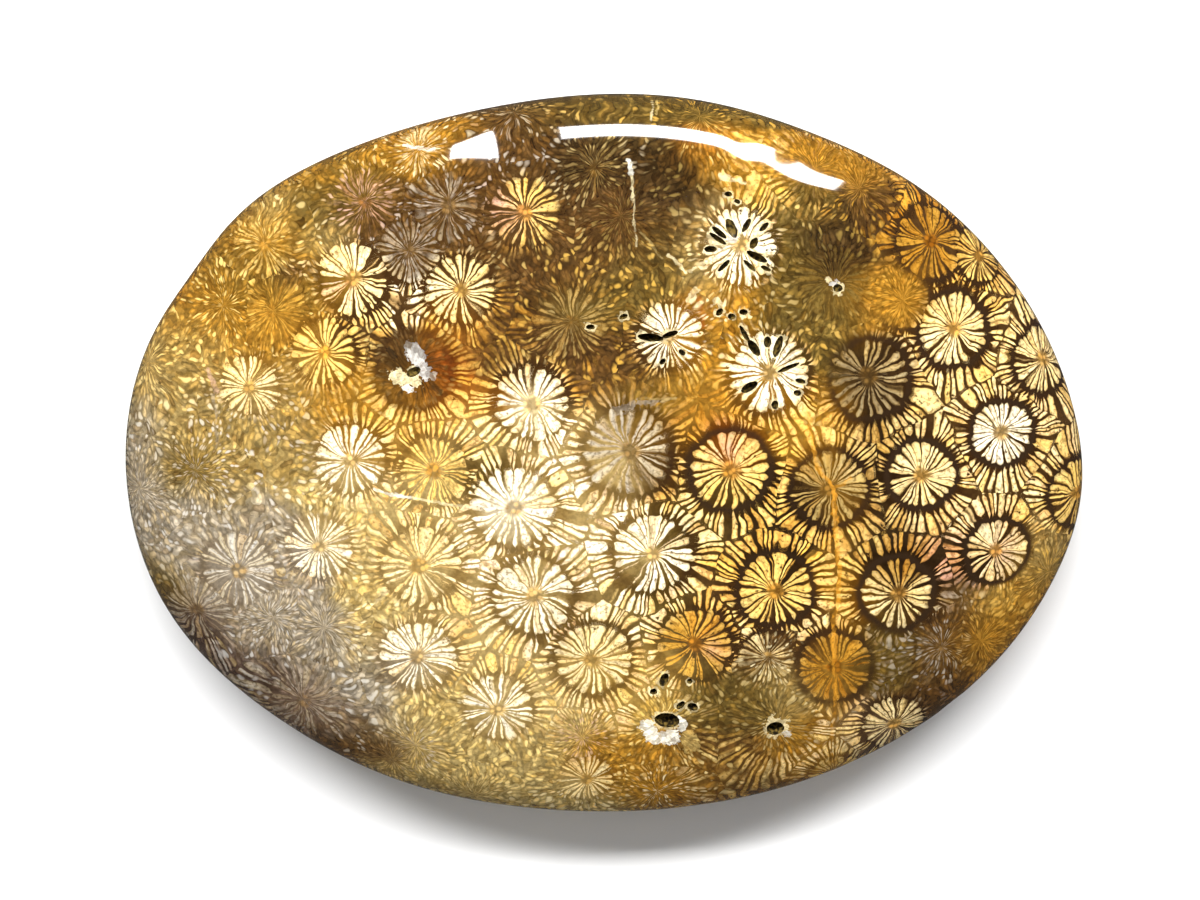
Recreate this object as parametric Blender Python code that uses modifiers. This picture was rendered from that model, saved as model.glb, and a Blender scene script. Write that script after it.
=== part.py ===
"""Polished oval of silicified fossil coral, lying on its flat ground back.

One closed body: a turned crown and bevel, drawn out to an oval, hand-ground
unevenly round the rim, with the open calices, holes and chips of the real
stone cut into it.  Metres, +Z up.  The origin is the centre of the back.
"""
import math

import bmesh
import bpy
from mathutils import Matrix, Vector

MM = 0.001

# The oval
HALF_LENGTH = 32.0 * MM
HALF_WIDTH = 24.3 * MM
HEIGHT = 15.0 * MM
GIRDLE_HEIGHT = 5.6 * MM        # where the outline is widest
CROWN_POWER = 2.4               # 2 is an ellipse, more gives a fuller shoulder
BEVEL_POWER = 2.2
BACK_SHARE = 0.88               # size of the flat back against the girdle
CROWN_RINGS = 20
BEVEL_RINGS = 4
SECTORS = 96

# Uneven grinding of the rim: bearing in degrees from +X, spread in degrees,
# and how far the rim stands out (+) or in (-) there
RIM_TOUCHES = (
    (24.0, 21.0, -0.70 * MM),
    (64.0, 9.0, -0.30 * MM),
    (106.0, 14.0, -0.46 * MM),
    (136.0, 8.0, 0.30 * MM),
    (150.0, 6.0, -0.25 * MM),
    (208.0, 14.0, 0.52 * MM),
    (244.0, 12.0, 0.36 * MM),
    (310.0, 34.0, 0.40 * MM),
    (354.0, 9.0, 0.30 * MM),
)
RIM_REACH = 0.35                # share of the radius where that grinding starts

# Shallow hollows left by polishing: centre, half sizes and depth
SHOULDER_HOLLOWS = (
    ((-6.8 * MM, 21.4 * MM), (2.6 * MM, 2.6 * MM), 0.55 * MM),
    ((9.3 * MM, 22.0 * MM), (0.9 * MM, 1.6 * MM), 0.20 * MM),
    ((14.0 * MM, 20.4 * MM), (3.4 * MM, 1.6 * MM), 0.30 * MM),
    ((17.0 * MM, -17.5 * MM), (7.0 * MM, 4.0 * MM), 0.22 * MM),
    ((-20.0 * MM, -12.0 * MM), (7.0 * MM, 6.0 * MM), 0.18 * MM),
)

# Places on the face are measured by sight, as millimetres right of and above
# the middle, by an eye this far off that leans towards +Y
SIGHT_DISTANCE = 300.0 * MM
SIGHT_LEAN = math.radians(10.0)
SIGHT_HEIGHT = HEIGHT / 2
SIGHT_ROUNDS = 6                # tries that bring a sighted place onto the crown

# Voids between the septa of the two open calices: sighted place, half length,
# half width, depth and the turn of the long axis in degrees
UPPER_CALICE_VOIDS = (
    (10.7, 15.4, 0.42, 0.17, 0.7, 45),
    (10.0, 14.3, 0.42, 0.25, 0.8, 60),
    (10.2, 13.4, 0.75, 0.25, 1.0, -27),
    (10.8, 12.6, 0.38, 0.16, 0.6, -25),
    (9.7, 12.8, 0.55, 0.15, 0.5, -45),
    (8.0, 12.8, 0.55, 0.17, 0.6, 45),
    (7.1, 13.9, 0.42, 0.22, 0.7, 0),
    (7.6, 14.6, 0.68, 0.17, 0.8, 145),
    (7.7, 15.0, 0.62, 0.20, 0.8, 140),
    (9.5, 15.5, 0.55, 0.20, 0.7, 60),
    (8.5, 15.3, 0.72, 0.34, 0.5, 112),
)
LOWER_CALICE_VOIDS = (
    (10.0, 7.3, 0.62, 0.28, 1.0, 125),
    (10.9, 7.7, 0.38, 0.25, 0.7, 90),
    (11.6, 7.4, 0.75, 0.26, 0.7, 72),
    (9.7, 4.7, 0.62, 0.28, 0.9, 30),
    (11.4, 3.5, 0.30, 0.24, 0.5, 90),
    (12.3, 6.0, 0.80, 0.15, 0.6, 22),
    (13.1, 5.1, 0.36, 0.16, 0.5, -15),
    (12.9, 4.3, 0.26, 0.20, 0.5, 0),
)
# Single holes, given in the same way
SINGLE_HOLES = (
    (3.1, 8.0, 0.85, 0.26, 1.2, -6),
    (4.4, 8.2, 0.55, 0.19, 0.9, 20),
    (3.9, 6.4, 0.25, 0.17, 0.6, 40),
    (5.2, 7.0, 0.28, 0.17, 0.4, -40),
    (7.7, 9.7, 0.29, 0.19, 0.7, 50),
    (8.5, 9.4, 0.26, 0.20, 0.5, 0),
    (9.3, 9.7, 0.29, 0.20, 0.7, 0),
    (9.4, 8.2, 0.70, 0.16, 0.6, -60),
    (8.3, 17.6, 0.28, 0.19, 0.6, 0),
    (8.9, 17.1, 0.22, 0.16, 0.5, -30),
    (-0.9, 8.7, 0.30, 0.18, 0.5, 0),
    (1.3, 9.4, 0.28, 0.16, 0.5, 20),
    (-12.7, 5.7, 0.50, 0.30, 0.5, 25),
    (15.6, 11.3, 0.34, 0.28, 0.5, 0),
    (4.2, -17.5, 0.85, 0.55, 1.3, -12),
    (4.0, -14.8, 0.50, 0.28, 0.8, 70),
    (3.3, -15.6, 0.26, 0.24, 0.6, 0),
    (5.7, -14.9, 0.19, 0.19, 0.5, 0),
    (5.1, -16.5, 0.36, 0.21, 0.8, 50),
    (5.9, -16.6, 0.38, 0.28, 0.8, -20),
    (11.4, -18.0, 0.60, 0.52, 1.5, 0),
)

# Chips broken off the lower right rim: bearing in degrees, height of the
# chip's centre, half length along the rim, half height and bite
RIM_CHIPS = (
    (276.5, 6.3 * MM, 1.2 * MM, 1.6 * MM, 0.34 * MM),
    (281.5, 6.6 * MM, 2.4 * MM, 2.0 * MM, 0.46 * MM),
    (293.0, 6.0 * MM, 1.7 * MM, 1.8 * MM, 0.30 * MM),
    (301.5, 6.9 * MM, 1.9 * MM, 1.5 * MM, 0.34 * MM),
    (309.5, 6.6 * MM, 2.3 * MM, 1.7 * MM, 0.30 * MM),
    (316.5, 7.1 * MM, 1.3 * MM, 1.3 * MM, 0.36 * MM),
)

# Cutter detail, and how far a cutter stands out of the face it cuts
HOLE_SIDES = 8
HOLE_RINGS = 5
CHIP_SIDES = 10
CHIP_RINGS = 7
CUTTER_PROUD = 0.12 * MM

STONE_COLOUR = (0.42, 0.27, 0.09, 1.0)
STONE_ROUGHNESS = 0.12


def clear_scene():
    """Remove whatever the start-up file holds."""
    for thing in list(bpy.data.objects):
        bpy.data.objects.remove(thing, do_unlink=True)


def new_collection(name):
    """Make a collection and link it to the scene."""
    collection = bpy.data.collections.new(name)
    bpy.context.scene.collection.children.link(collection)
    return collection


def stone_material():
    """Polished silicified coral, as one plain colour."""
    material = bpy.data.materials.new("polished_fossil_coral")
    material.use_nodes = True
    shader = material.node_tree.nodes["Principled BSDF"]
    shader.inputs["Base Color"].default_value = STONE_COLOUR
    shader.inputs["Roughness"].default_value = STONE_ROUGHNESS
    shader.inputs["Metallic"].default_value = 0.0
    return material


def crown_point(turn):
    """Radius share and height on the crown; turn runs from 0 at the top to 1."""
    angle = turn * math.pi / 2
    share = math.sin(angle) ** (2 / CROWN_POWER)
    rise = max(math.cos(angle), 0.0) ** (2 / CROWN_POWER)
    return share, GIRDLE_HEIGHT + (HEIGHT - GIRDLE_HEIGHT) * rise


def bevel_point(turn):
    """Radius share and height on the bevel; turn runs from 0 at the girdle to 1."""
    angle = turn * math.pi / 2
    out = max(math.cos(angle), 0.0) ** (2 / BEVEL_POWER)
    drop = math.sin(angle) ** (2 / BEVEL_POWER)
    return BACK_SHARE + (1 - BACK_SHARE) * out, GIRDLE_HEIGHT * (1 - drop)


def rim_offset(bearing):
    """How far the hand-ground rim stands out or in at a bearing, in metres."""
    offset = 0.0
    for centre, spread, depth in RIM_TOUCHES:
        width = math.radians(spread)
        turn = bearing - math.radians(centre)
        offset += depth * math.exp((math.cos(turn) - 1) / width ** 2)
    return offset


def smooth_step(low, high, value):
    """Rise from 0 at low to 1 at high without a corner."""
    share = min(max((value - low) / (high - low), 0.0), 1.0)
    return share * share * (3 - 2 * share)


def hollow_depth(x, y):
    """Depth of the polishing hollows at a place on the crown."""
    depth = 0.0
    for (centre_x, centre_y), (half_x, half_y), deepest in SHOULDER_HOLLOWS:
        reach = ((x - centre_x) / half_x) ** 2 + ((y - centre_y) / half_y) ** 2
        depth += deepest * math.exp(-reach)
    return depth


def oval_place(share, bearing, height):
    """Turn a radius share, bearing and height into a place on the stone."""
    ground = rim_offset(bearing) * smooth_step(RIM_REACH, 1.0, share)
    x = (HALF_LENGTH * share + ground) * math.cos(bearing)
    y = (HALF_WIDTH * share + ground) * math.sin(bearing)
    if height > GIRDLE_HEIGHT:
        rise = (height - GIRDLE_HEIGHT) / (HEIGHT - GIRDLE_HEIGHT)
        height -= hollow_depth(x, y) * smooth_step(0.0, 0.5, rise)
    return Vector((x, y, height))


def crown_height(x, y):
    """Height of the crown over a place given in plan."""
    bearing = math.atan2(y / HALF_WIDTH, x / HALF_LENGTH)
    share = math.hypot(x / HALF_LENGTH, y / HALF_WIDTH)
    rise = max(1 - share ** CROWN_POWER, 0.0) ** (1 / CROWN_POWER)
    height = GIRDLE_HEIGHT + (HEIGHT - GIRDLE_HEIGHT) * rise
    return oval_place(share, bearing, height).z


def crown_normal(x, y):
    """Outward direction of the crown over a place given in plan."""
    step = 0.2 * MM
    slope_x = (crown_height(x + step, y) - crown_height(x - step, y)) / (2 * step)
    slope_y = (crown_height(x, y + step) - crown_height(x, y - step)) / (2 * step)
    return Vector((-slope_x, -slope_y, 1.0)).normalized()


def turned_oval(collection, material):
    """Turn the profile with a Screw modifier, then draw it out to the ground oval."""
    profile = [crown_point(ring / CROWN_RINGS) for ring in range(CROWN_RINGS + 1)]
    profile += [bevel_point(ring / BEVEL_RINGS) for ring in range(1, BEVEL_RINGS + 1)]
    outline = bpy.data.meshes.new("profile")
    points = [(share * HALF_LENGTH, 0.0, height) for share, height in profile]
    edges = [(index, index + 1) for index in range(len(points) - 1)]
    outline.from_pydata(points, edges, [])
    turned = bpy.data.objects.new("profile", outline)
    collection.objects.link(turned)
    screw = turned.modifiers.new("turn", "SCREW")
    screw.steps = SECTORS
    screw.render_steps = SECTORS
    screw.use_merge_vertices = True
    screw.merge_threshold = 0.01 * MM
    evaluated = turned.evaluated_get(bpy.context.evaluated_depsgraph_get())
    mesh = bpy.data.meshes.new_from_object(evaluated)
    bpy.data.objects.remove(turned, do_unlink=True)

    shape = bmesh.new()
    shape.from_mesh(mesh)
    bmesh.ops.holes_fill(shape, edges=[e for e in shape.edges if e.is_boundary])
    for vertex in shape.verts:
        share = math.hypot(vertex.co.x, vertex.co.y) / HALF_LENGTH
        bearing = math.atan2(vertex.co.y, vertex.co.x)
        vertex.co = oval_place(share, bearing, vertex.co.z)
    bmesh.ops.recalc_face_normals(shape, faces=shape.faces)
    shape.to_mesh(mesh)
    shape.free()
    mesh.name = "coral_head"
    mesh.materials.clear()
    mesh.materials.append(material)
    stone = bpy.data.objects.new("coral_head", mesh)
    collection.objects.link(stone)
    return stone


def add_ball(shape, place, axes, half_sizes, sides, rings):
    """Add an egg-shaped cutter along three axes to a mesh being built."""
    turn = Matrix(axes).transposed().to_4x4()
    stretch = Matrix.Diagonal((*half_sizes, 1.0))
    bmesh.ops.create_uvsphere(
        shape, u_segments=sides, v_segments=rings, radius=1.0,
        matrix=Matrix.Translation(place) @ turn @ stretch)


def add_pit(shape, x, y, half_sizes, depth, turn):
    """Add a cutter that sinks a pit of this size into the crown."""
    normal = crown_normal(x, y)
    along = Vector((math.cos(turn), math.sin(turn), 0.0))
    along = (along - normal * along.dot(normal)).normalized()
    across = normal.cross(along)
    place = Vector((x, y, crown_height(x, y))) + normal * CUTTER_PROUD
    sizes = (half_sizes[0], half_sizes[1], depth + CUTTER_PROUD)
    add_ball(shape, place, (along, across, normal), sizes, HOLE_SIDES, HOLE_RINGS)


def add_chip(shape, bearing, height, half_length, half_height, bite):
    """Add a cutter that takes a shallow shell off the rim."""
    rim = oval_place(1.0, bearing, height)
    step = math.radians(0.5)
    along = (oval_place(1.0, bearing + step, height) - rim).normalized()
    upward = Vector((0.0, 0.0, 1.0))
    outward = along.cross(upward)
    add_ball(shape, rim, (along, upward, outward),
             (half_length, half_height, bite), CHIP_SIDES, CHIP_RINGS)


def cutter_object(name, shape, collection):
    """Keep a cutter in view as wire only."""
    mesh = bpy.data.meshes.new(name)
    shape.to_mesh(mesh)
    shape.free()
    cutter = bpy.data.objects.new(name, mesh)
    cutter.hide_render = True
    cutter.display_type = "WIRE"
    collection.objects.link(cutter)
    return cutter


def sighted_place(right, above):
    """Place in plan of the crown's point that is sighted here."""
    lean = math.sin(SIGHT_LEAN)
    upright = math.cos(SIGHT_LEAN)
    x, y = right, above
    for _ in range(SIGHT_ROUNDS):
        lift = crown_height(x, y) - SIGHT_HEIGHT
        nearness = 1 - (y * lean + lift * upright) / SIGHT_DISTANCE
        x = right * nearness
        y = (above * nearness + lift * lean) / upright
    return x, y


def pit_cutter(collection):
    """All pits of the face: voids of the open calices and single holes."""
    shape = bmesh.new()
    for right, above, *sizes, turn in UPPER_CALICE_VOIDS + LOWER_CALICE_VOIDS + SINGLE_HOLES:
        half_length, half_width, depth = (size * MM for size in sizes)
        x, y = sighted_place(right * MM, above * MM)
        add_pit(shape, x, y, (half_length, half_width), depth, math.radians(turn))
    return cutter_object("face_pits", shape, collection)


def chip_cutter(collection):
    """The shells that broke off the rim."""
    shape = bmesh.new()
    for bearing, height, half_length, half_height, bite in RIM_CHIPS:
        add_chip(shape, math.radians(bearing), height, half_length, half_height, bite)
    return cutter_object("rim_chips", shape, collection)


def cut(stone, cutter):
    """Take the cutter out of the stone with an exact Boolean."""
    boolean = stone.modifiers.new(cutter.name, "BOOLEAN")
    boolean.operation = "DIFFERENCE"
    boolean.solver = "EXACT"
    boolean.use_self = True
    boolean.object = cutter


def main():
    clear_scene()
    parts = new_collection("fossil_coral_head")
    cutters = new_collection("cutters")
    stone = turned_oval(parts, stone_material())
    cut(stone, pit_cutter(cutters))
    cut(stone, chip_cutter(cutters))
    stone.data.shade_smooth()
    stone.data.set_sharp_from_angle(angle=math.radians(35))


main()
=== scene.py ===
# %% [markdown]
# # A polished oval of fossil coral
#
# The real object is one stone.  A coral colony was turned to agate, and a
# lapidary ground it to a low dome with a rounded rim and a flat back.  The dome
# cuts across the coral's tubes, so each tube shows as a flower: petals inside a
# dark wall, and shorter teeth that run out to the neighbours.
#
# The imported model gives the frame.  Everything here is in metres in that frame.

# %% Load the frame
import math

import bpy
import numpy as np
from mathutils import Matrix, Vector, noise


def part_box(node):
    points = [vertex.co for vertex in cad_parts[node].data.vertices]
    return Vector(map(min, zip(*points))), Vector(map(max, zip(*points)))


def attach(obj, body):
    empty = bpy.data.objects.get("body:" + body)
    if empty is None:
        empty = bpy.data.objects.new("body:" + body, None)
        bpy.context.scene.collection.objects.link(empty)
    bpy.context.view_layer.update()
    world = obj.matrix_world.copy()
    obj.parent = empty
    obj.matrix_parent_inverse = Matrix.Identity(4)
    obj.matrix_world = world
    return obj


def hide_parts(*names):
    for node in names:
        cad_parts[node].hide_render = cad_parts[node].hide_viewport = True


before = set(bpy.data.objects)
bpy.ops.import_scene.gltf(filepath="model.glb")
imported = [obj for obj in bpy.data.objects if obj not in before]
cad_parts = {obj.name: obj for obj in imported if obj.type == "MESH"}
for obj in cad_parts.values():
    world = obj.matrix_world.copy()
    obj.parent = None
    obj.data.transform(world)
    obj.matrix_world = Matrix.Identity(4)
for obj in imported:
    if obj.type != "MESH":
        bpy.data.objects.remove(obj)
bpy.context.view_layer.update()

MM = 0.001
stone_low, stone_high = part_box("coral_head")
print("stone measures, mm:", [round(side / MM, 1) for side in stone_high - stone_low])

# %% [markdown]
# ## Sums in node trees
#
# Geometry Nodes and shader nodes both do sums with Math nodes, one node for
# each sign.  A formula is easier to read than thirty lines of wiring, so `Wire`
# wraps a socket and lets Python's own signs lay the nodes.

# %% A socket that can be added, multiplied and compared
class Wire:
    """One output socket, with the sums that Math nodes can do on it."""

    def __init__(self, socket):
        self.socket = socket
        self.tree = socket.id_data

    def node(self, operation, *others):
        """A Math node that takes this wire first."""
        feeds = dict(enumerate((self, *others)))
        return wired(self.tree, "ShaderNodeMath", feeds, operation=operation)

    def __add__(self, other):
        return self.node("ADD", other)

    def __sub__(self, other):
        return self.node("SUBTRACT", other)

    def __mul__(self, other):
        return self.node("MULTIPLY", other)

    def __truediv__(self, other):
        return self.node("DIVIDE", other)

    def __pow__(self, other):
        return self.node("POWER", other)

    def __rsub__(self, other):
        return (self * -1) + other

    def __rtruediv__(self, other):
        return self ** -1 * other

    __radd__ = __add__
    __rmul__ = __mul__

    def size(self):
        return self.node("ABSOLUTE")

    def most(self, other):
        return self.node("MAXIMUM", other)

    def least(self, other):
        return self.node("MINIMUM", other)

    def rise(self, low, high):
        """0 below low, 1 above high and a smooth step between them."""
        feeds = dict(enumerate((self, low, high, 0.0, 1.0)))
        return wired(self.tree, "ShaderNodeMapRange", feeds, interpolation_type="SMOOTHSTEP")


def feed(entry, value):
    """Give an input socket a wire or a plain value."""
    if isinstance(value, Wire):
        entry.id_data.links.new(value.socket, entry)
    else:
        entry.default_value = value


def lay(tree, kind, feeds, **settings):
    """Add a node, set its options and feed its inputs."""
    node = tree.nodes.new(kind)
    for name, value in settings.items():
        setattr(node, name, value)
    for entry, value in feeds.items():
        feed(node.inputs[entry], value)
    return node


def wired(tree, kind, feeds, **settings):
    """Lay a node, and return its first output as a wire."""
    return Wire(lay(tree, kind, feeds, **settings).outputs[0])


def split(vector):
    """The three parts of a vector wire."""
    node = lay(vector.tree, "ShaderNodeSeparateXYZ", {0: vector})
    return [Wire(part) for part in node.outputs]


def join(tree, x, y, z):
    """One vector wire from three parts."""
    return wired(tree, "ShaderNodeCombineXYZ", {0: x, 1: y, 2: z})


def vectors(operation, first, second):
    """A vector sum."""
    entry = "Scale" if operation == "SCALE" else 1
    return wired(first.tree, "ShaderNodeVectorMath", {0: first, entry: second},
                 operation=operation)


print("a formula such as  wire * 2 + 1  now lays Math nodes")

# %% [markdown]
# ## The shape of the oval
#
# A cabochon is a curve turned about its middle and drawn out to an oval: a full
# shoulder (a superellipse), a girdle where it is widest, a bevel and the flat
# back.  Grinding by hand leaves soft flats round the rim and shallow hollows on
# the shoulder, and those break up the highlight.  The numbers are the maker's,
# and the same as in the solid that this mesh stands for.

# %% The lapidary's numbers
HALF_LENGTH = 32.0 * MM
HALF_WIDTH = 24.3 * MM
HEIGHT = stone_high.z
GIRDLE_HEIGHT = 5.6 * MM
CROWN_POWER = 2.4
BEVEL_POWER = 2.2
BACK_SHARE = 0.88
RIM_REACH = 0.35
HOLLOW_FADE = 0.5

# bearing and spread in degrees, and how far the rim stands out or in
RIM_TOUCHES = (
    (24.0, 21.0, -0.70 * MM),
    (64.0, 9.0, -0.30 * MM),
    (106.0, 14.0, -0.46 * MM),
    (136.0, 8.0, 0.30 * MM),
    (150.0, 6.0, -0.25 * MM),
    (208.0, 14.0, 0.52 * MM),
    (244.0, 12.0, 0.36 * MM),
    (310.0, 34.0, 0.40 * MM),
    (354.0, 9.0, 0.30 * MM),
)

# centre, half sizes and depth of the polishing hollows
SHOULDER_HOLLOWS = (
    ((-6.8 * MM, 21.4 * MM), (2.6 * MM, 2.6 * MM), 0.55 * MM),
    ((9.3 * MM, 22.0 * MM), (0.9 * MM, 1.6 * MM), 0.20 * MM),
    ((14.0 * MM, 20.4 * MM), (3.4 * MM, 1.6 * MM), 0.30 * MM),
    ((17.0 * MM, -17.5 * MM), (7.0 * MM, 4.0 * MM), 0.22 * MM),
    ((-20.0 * MM, -12.0 * MM), (7.0 * MM, 6.0 * MM), 0.18 * MM),
)
print(len(RIM_TOUCHES), "touches round the rim,", len(SHOULDER_HOLLOWS), "hollows")

# %% [markdown]
# ## The same formula twice
#
# Marks and holes have to sit on the dome, so Python needs its height at any
# place in plan.  Places on the face are easiest to measure by sight, flat, with
# the eye 300 mm away and leaning 10 degrees towards +Y.  `on_face` brings such a
# measure onto the dome by trying the height it finds a few times.

# %% Height of the dome, and places measured by sight
SIGHT_DISTANCE = 300.0 * MM
SIGHT_LEAN = math.radians(10.0)
SIGHT_HEIGHT = HEIGHT / 2
SIGHT_ROUNDS = 6


def rim_offset(bearing):
    """How far the rim stands out or in at a bearing."""
    offset = 0.0
    for centre, spread, depth in RIM_TOUCHES:
        turn = np.cos(bearing - math.radians(centre)) - 1
        offset = offset + depth * np.exp(turn / math.radians(spread) ** 2)
    return offset


def smooth_step(low, high, value):
    """Rise from 0 at low to 1 at high without a corner."""
    share = np.clip((value - low) / (high - low), 0.0, 1.0)
    return share * share * (3 - 2 * share)


def crown_height(x, y):
    """Height of the dome over a place in plan."""
    bearing = np.arctan2(y / HALF_WIDTH, x / HALF_LENGTH)
    share = np.hypot(x / HALF_LENGTH, y / HALF_WIDTH)
    rise = np.clip(1 - share ** CROWN_POWER, 0.0, 1.0) ** (1 / CROWN_POWER)
    ground = rim_offset(bearing) * smooth_step(RIM_REACH, 1.0, share)
    x = x + ground * np.cos(bearing)
    y = y + ground * np.sin(bearing)
    hollow = 0.0
    for (centre_x, centre_y), (half_x, half_y), deepest in SHOULDER_HOLLOWS:
        reach = ((x - centre_x) / half_x) ** 2 + ((y - centre_y) / half_y) ** 2
        hollow = hollow + deepest * np.exp(-reach)
    height = GIRDLE_HEIGHT + (HEIGHT - GIRDLE_HEIGHT) * rise
    return height - hollow * smooth_step(0.0, HOLLOW_FADE, rise)


def on_face(right, above):
    """Place in plan, in metres, of a point sighted this many millimetres off."""
    right = np.asarray(right, float) * MM
    above = np.asarray(above, float) * MM
    lean, upright = math.sin(SIGHT_LEAN), math.cos(SIGHT_LEAN)
    x, y = right, above
    for _ in range(SIGHT_ROUNDS):
        lift = crown_height(x, y) - SIGHT_HEIGHT
        nearness = 1 - (y * lean + lift * upright) / SIGHT_DISTANCE
        x = right * nearness
        y = (above * nearness + lift * lean) / upright
    return x, y


def crown_normal(x, y):
    """Outward direction of the dome over a place in plan."""
    step = 0.2 * MM
    slope_x = (crown_height(x + step, y) - crown_height(x - step, y)) / (2 * step)
    slope_y = (crown_height(x, y + step) - crown_height(x, y - step)) / (2 * step)
    return Vector((-slope_x, -slope_y, 1.0)).normalized()


middle = on_face(0.0, 0.0)
print("the sighted middle lies at y =", round(float(middle[1]) / MM, 2), "mm in plan")

# %% [markdown]
# ## Holes and chips
#
# Where agate did not fill the coral, it stayed open: wedges between the septa of
# two calices, a few single holes, and a pocket lined with tiny quartz.  The rim
# is chipped at the lower right.  Each hole is one point that carries its size
# and turn, and Geometry Nodes put a lumpy ball on every point and cut them all
# out of the stone in one go.

# %% Where the holes are
# sighted place, half length, half width, depth and turn in degrees
UPPER_CALICE_VOIDS = (
    (10.7, 15.4, 0.42, 0.17, 0.7, 45),
    (10.0, 14.3, 0.42, 0.25, 0.8, 60),
    (10.2, 13.4, 0.75, 0.25, 1.0, -27),
    (10.8, 12.6, 0.38, 0.16, 0.6, -25),
    (9.7, 12.8, 0.55, 0.15, 0.5, -45),
    (8.0, 12.8, 0.55, 0.17, 0.6, 45),
    (7.1, 13.9, 0.42, 0.22, 0.7, 0),
    (7.6, 14.6, 0.68, 0.17, 0.8, 145),
    (7.7, 15.0, 0.62, 0.20, 0.8, 140),
    (9.5, 15.5, 0.55, 0.20, 0.7, 60),
    (8.5, 15.3, 0.72, 0.34, 0.5, 112),
)
LOWER_CALICE_VOIDS = (
    (10.0, 7.3, 0.62, 0.28, 1.0, 125),
    (10.9, 7.7, 0.38, 0.25, 0.7, 90),
    (11.6, 7.4, 0.75, 0.26, 0.7, 72),
    (9.7, 4.7, 0.62, 0.28, 0.9, 30),
    (11.4, 3.5, 0.30, 0.24, 0.5, 90),
    (12.3, 6.0, 0.80, 0.15, 0.6, 22),
    (13.1, 5.1, 0.36, 0.16, 0.5, -15),
    (12.9, 4.3, 0.26, 0.20, 0.5, 0),
)
SINGLE_HOLES = (
    (3.1, 8.0, 0.85, 0.26, 1.2, -6),
    (4.4, 8.2, 0.55, 0.19, 0.9, 20),
    (3.9, 6.4, 0.25, 0.17, 0.6, 40),
    (5.2, 7.0, 0.28, 0.17, 0.4, -40),
    (7.7, 9.7, 0.29, 0.19, 0.7, 50),
    (8.5, 9.4, 0.26, 0.20, 0.5, 0),
    (9.3, 9.7, 0.29, 0.20, 0.7, 0),
    (9.4, 8.2, 0.70, 0.16, 0.6, -60),
    (8.3, 17.6, 0.28, 0.19, 0.6, 0),
    (8.9, 17.1, 0.22, 0.16, 0.5, -30),
    (-0.9, 8.7, 0.30, 0.18, 0.5, 0),
    (1.3, 9.4, 0.28, 0.16, 0.5, 20),
    (-12.7, 5.7, 0.50, 0.30, 0.5, 25),
    (15.6, 11.3, 0.34, 0.28, 0.5, 0),
    (4.2, -17.5, 0.85, 0.55, 1.3, -12),
    (4.0, -14.8, 0.50, 0.28, 0.8, 70),
    (3.3, -15.6, 0.26, 0.24, 0.6, 0),
    (5.7, -14.9, 0.19, 0.19, 0.5, 0),
    (5.1, -16.5, 0.36, 0.21, 0.8, 50),
    (5.9, -16.6, 0.38, 0.28, 0.8, -20),
    (11.4, -18.0, 0.60, 0.52, 1.5, 0),
)
HOLES = UPPER_CALICE_VOIDS + LOWER_CALICE_VOIDS + SINGLE_HOLES
# bearing in degrees, height, half length, half height and bite
RIM_CHIPS = (
    (276.5, 6.3, 1.2, 1.6, 0.34),
    (281.5, 6.6, 2.4, 2.0, 0.46),
    (293.0, 6.0, 1.7, 1.8, 0.30),
    (301.5, 6.9, 1.9, 1.5, 0.34),
    (309.5, 6.6, 2.3, 1.7, 0.30),
    (316.5, 7.1, 1.3, 1.3, 0.36),
)
CUTTER_PROUD = 0.12 * MM
print(len(HOLES), "holes and", len(RIM_CHIPS), "chips")


# %% Points that carry the cutters' sizes and turns
def place_cutters(name, places, axes, sizes):
    """A mesh of bare points, with each cutter's size and turn stored on it."""
    mesh = bpy.data.meshes.new(name)
    mesh.from_pydata(places, [], [])
    size_layer = mesh.attributes.new("cutter_size", "FLOAT_VECTOR", "POINT")
    turn_layer = mesh.attributes.new("cutter_turn", "FLOAT_VECTOR", "POINT")
    for index, (frame_axes, size) in enumerate(zip(axes, sizes)):
        along, across, outward = frame_axes
        turn = Matrix(tuple(zip(along, across, outward))).to_euler()
        size_layer.data[index].vector = size
        turn_layer.data[index].vector = turn
    thing = bpy.data.objects.new(name, mesh)
    bpy.context.scene.collection.objects.link(thing)
    return thing


def hole_points():
    """One point for each hole, on the dome."""
    places, axes, sizes = [], [], []
    for right, above, half_length, half_width, depth, degrees in HOLES:
        x, y = on_face(right, above)
        outward = crown_normal(x, y)
        turn = math.radians(degrees)
        along = Vector((math.cos(turn), math.sin(turn), 0.0))
        along = (along - outward * along.dot(outward)).normalized()
        place = Vector((x, y, crown_height(x, y))) + outward * CUTTER_PROUD
        places.append(place)
        axes.append((along, outward.cross(along), outward))
        sizes.append((half_length * MM, half_width * MM, depth * MM + CUTTER_PROUD))
    return place_cutters("hole_points", places, axes, sizes)


def rim_point(bearing, height):
    """A place on the widest part of the rim."""
    ground = rim_offset(bearing)
    x = (HALF_LENGTH + ground) * math.cos(bearing)
    y = (HALF_WIDTH + ground) * math.sin(bearing)
    return Vector((x, y, height))


def chip_points():
    """One point for each chip, on the rim."""
    places, axes, sizes = [], [], []
    upward = Vector((0.0, 0.0, 1.0))
    step = math.radians(0.5)
    for degrees, height, half_length, half_height, bite in RIM_CHIPS:
        bearing = math.radians(degrees)
        place = rim_point(bearing, height * MM)
        along = (rim_point(bearing + step, height * MM) - place).normalized()
        places.append(place)
        axes.append((along, upward, along.cross(upward)))
        sizes.append((half_length * MM, half_height * MM, bite * MM))
    return place_cutters("chip_points", places, axes, sizes)


holes_here = hole_points()
chips_here = chip_points()
print("cutters stand on", len(holes_here.data.vertices), "and", len(chips_here.data.vertices), "points")

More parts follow.
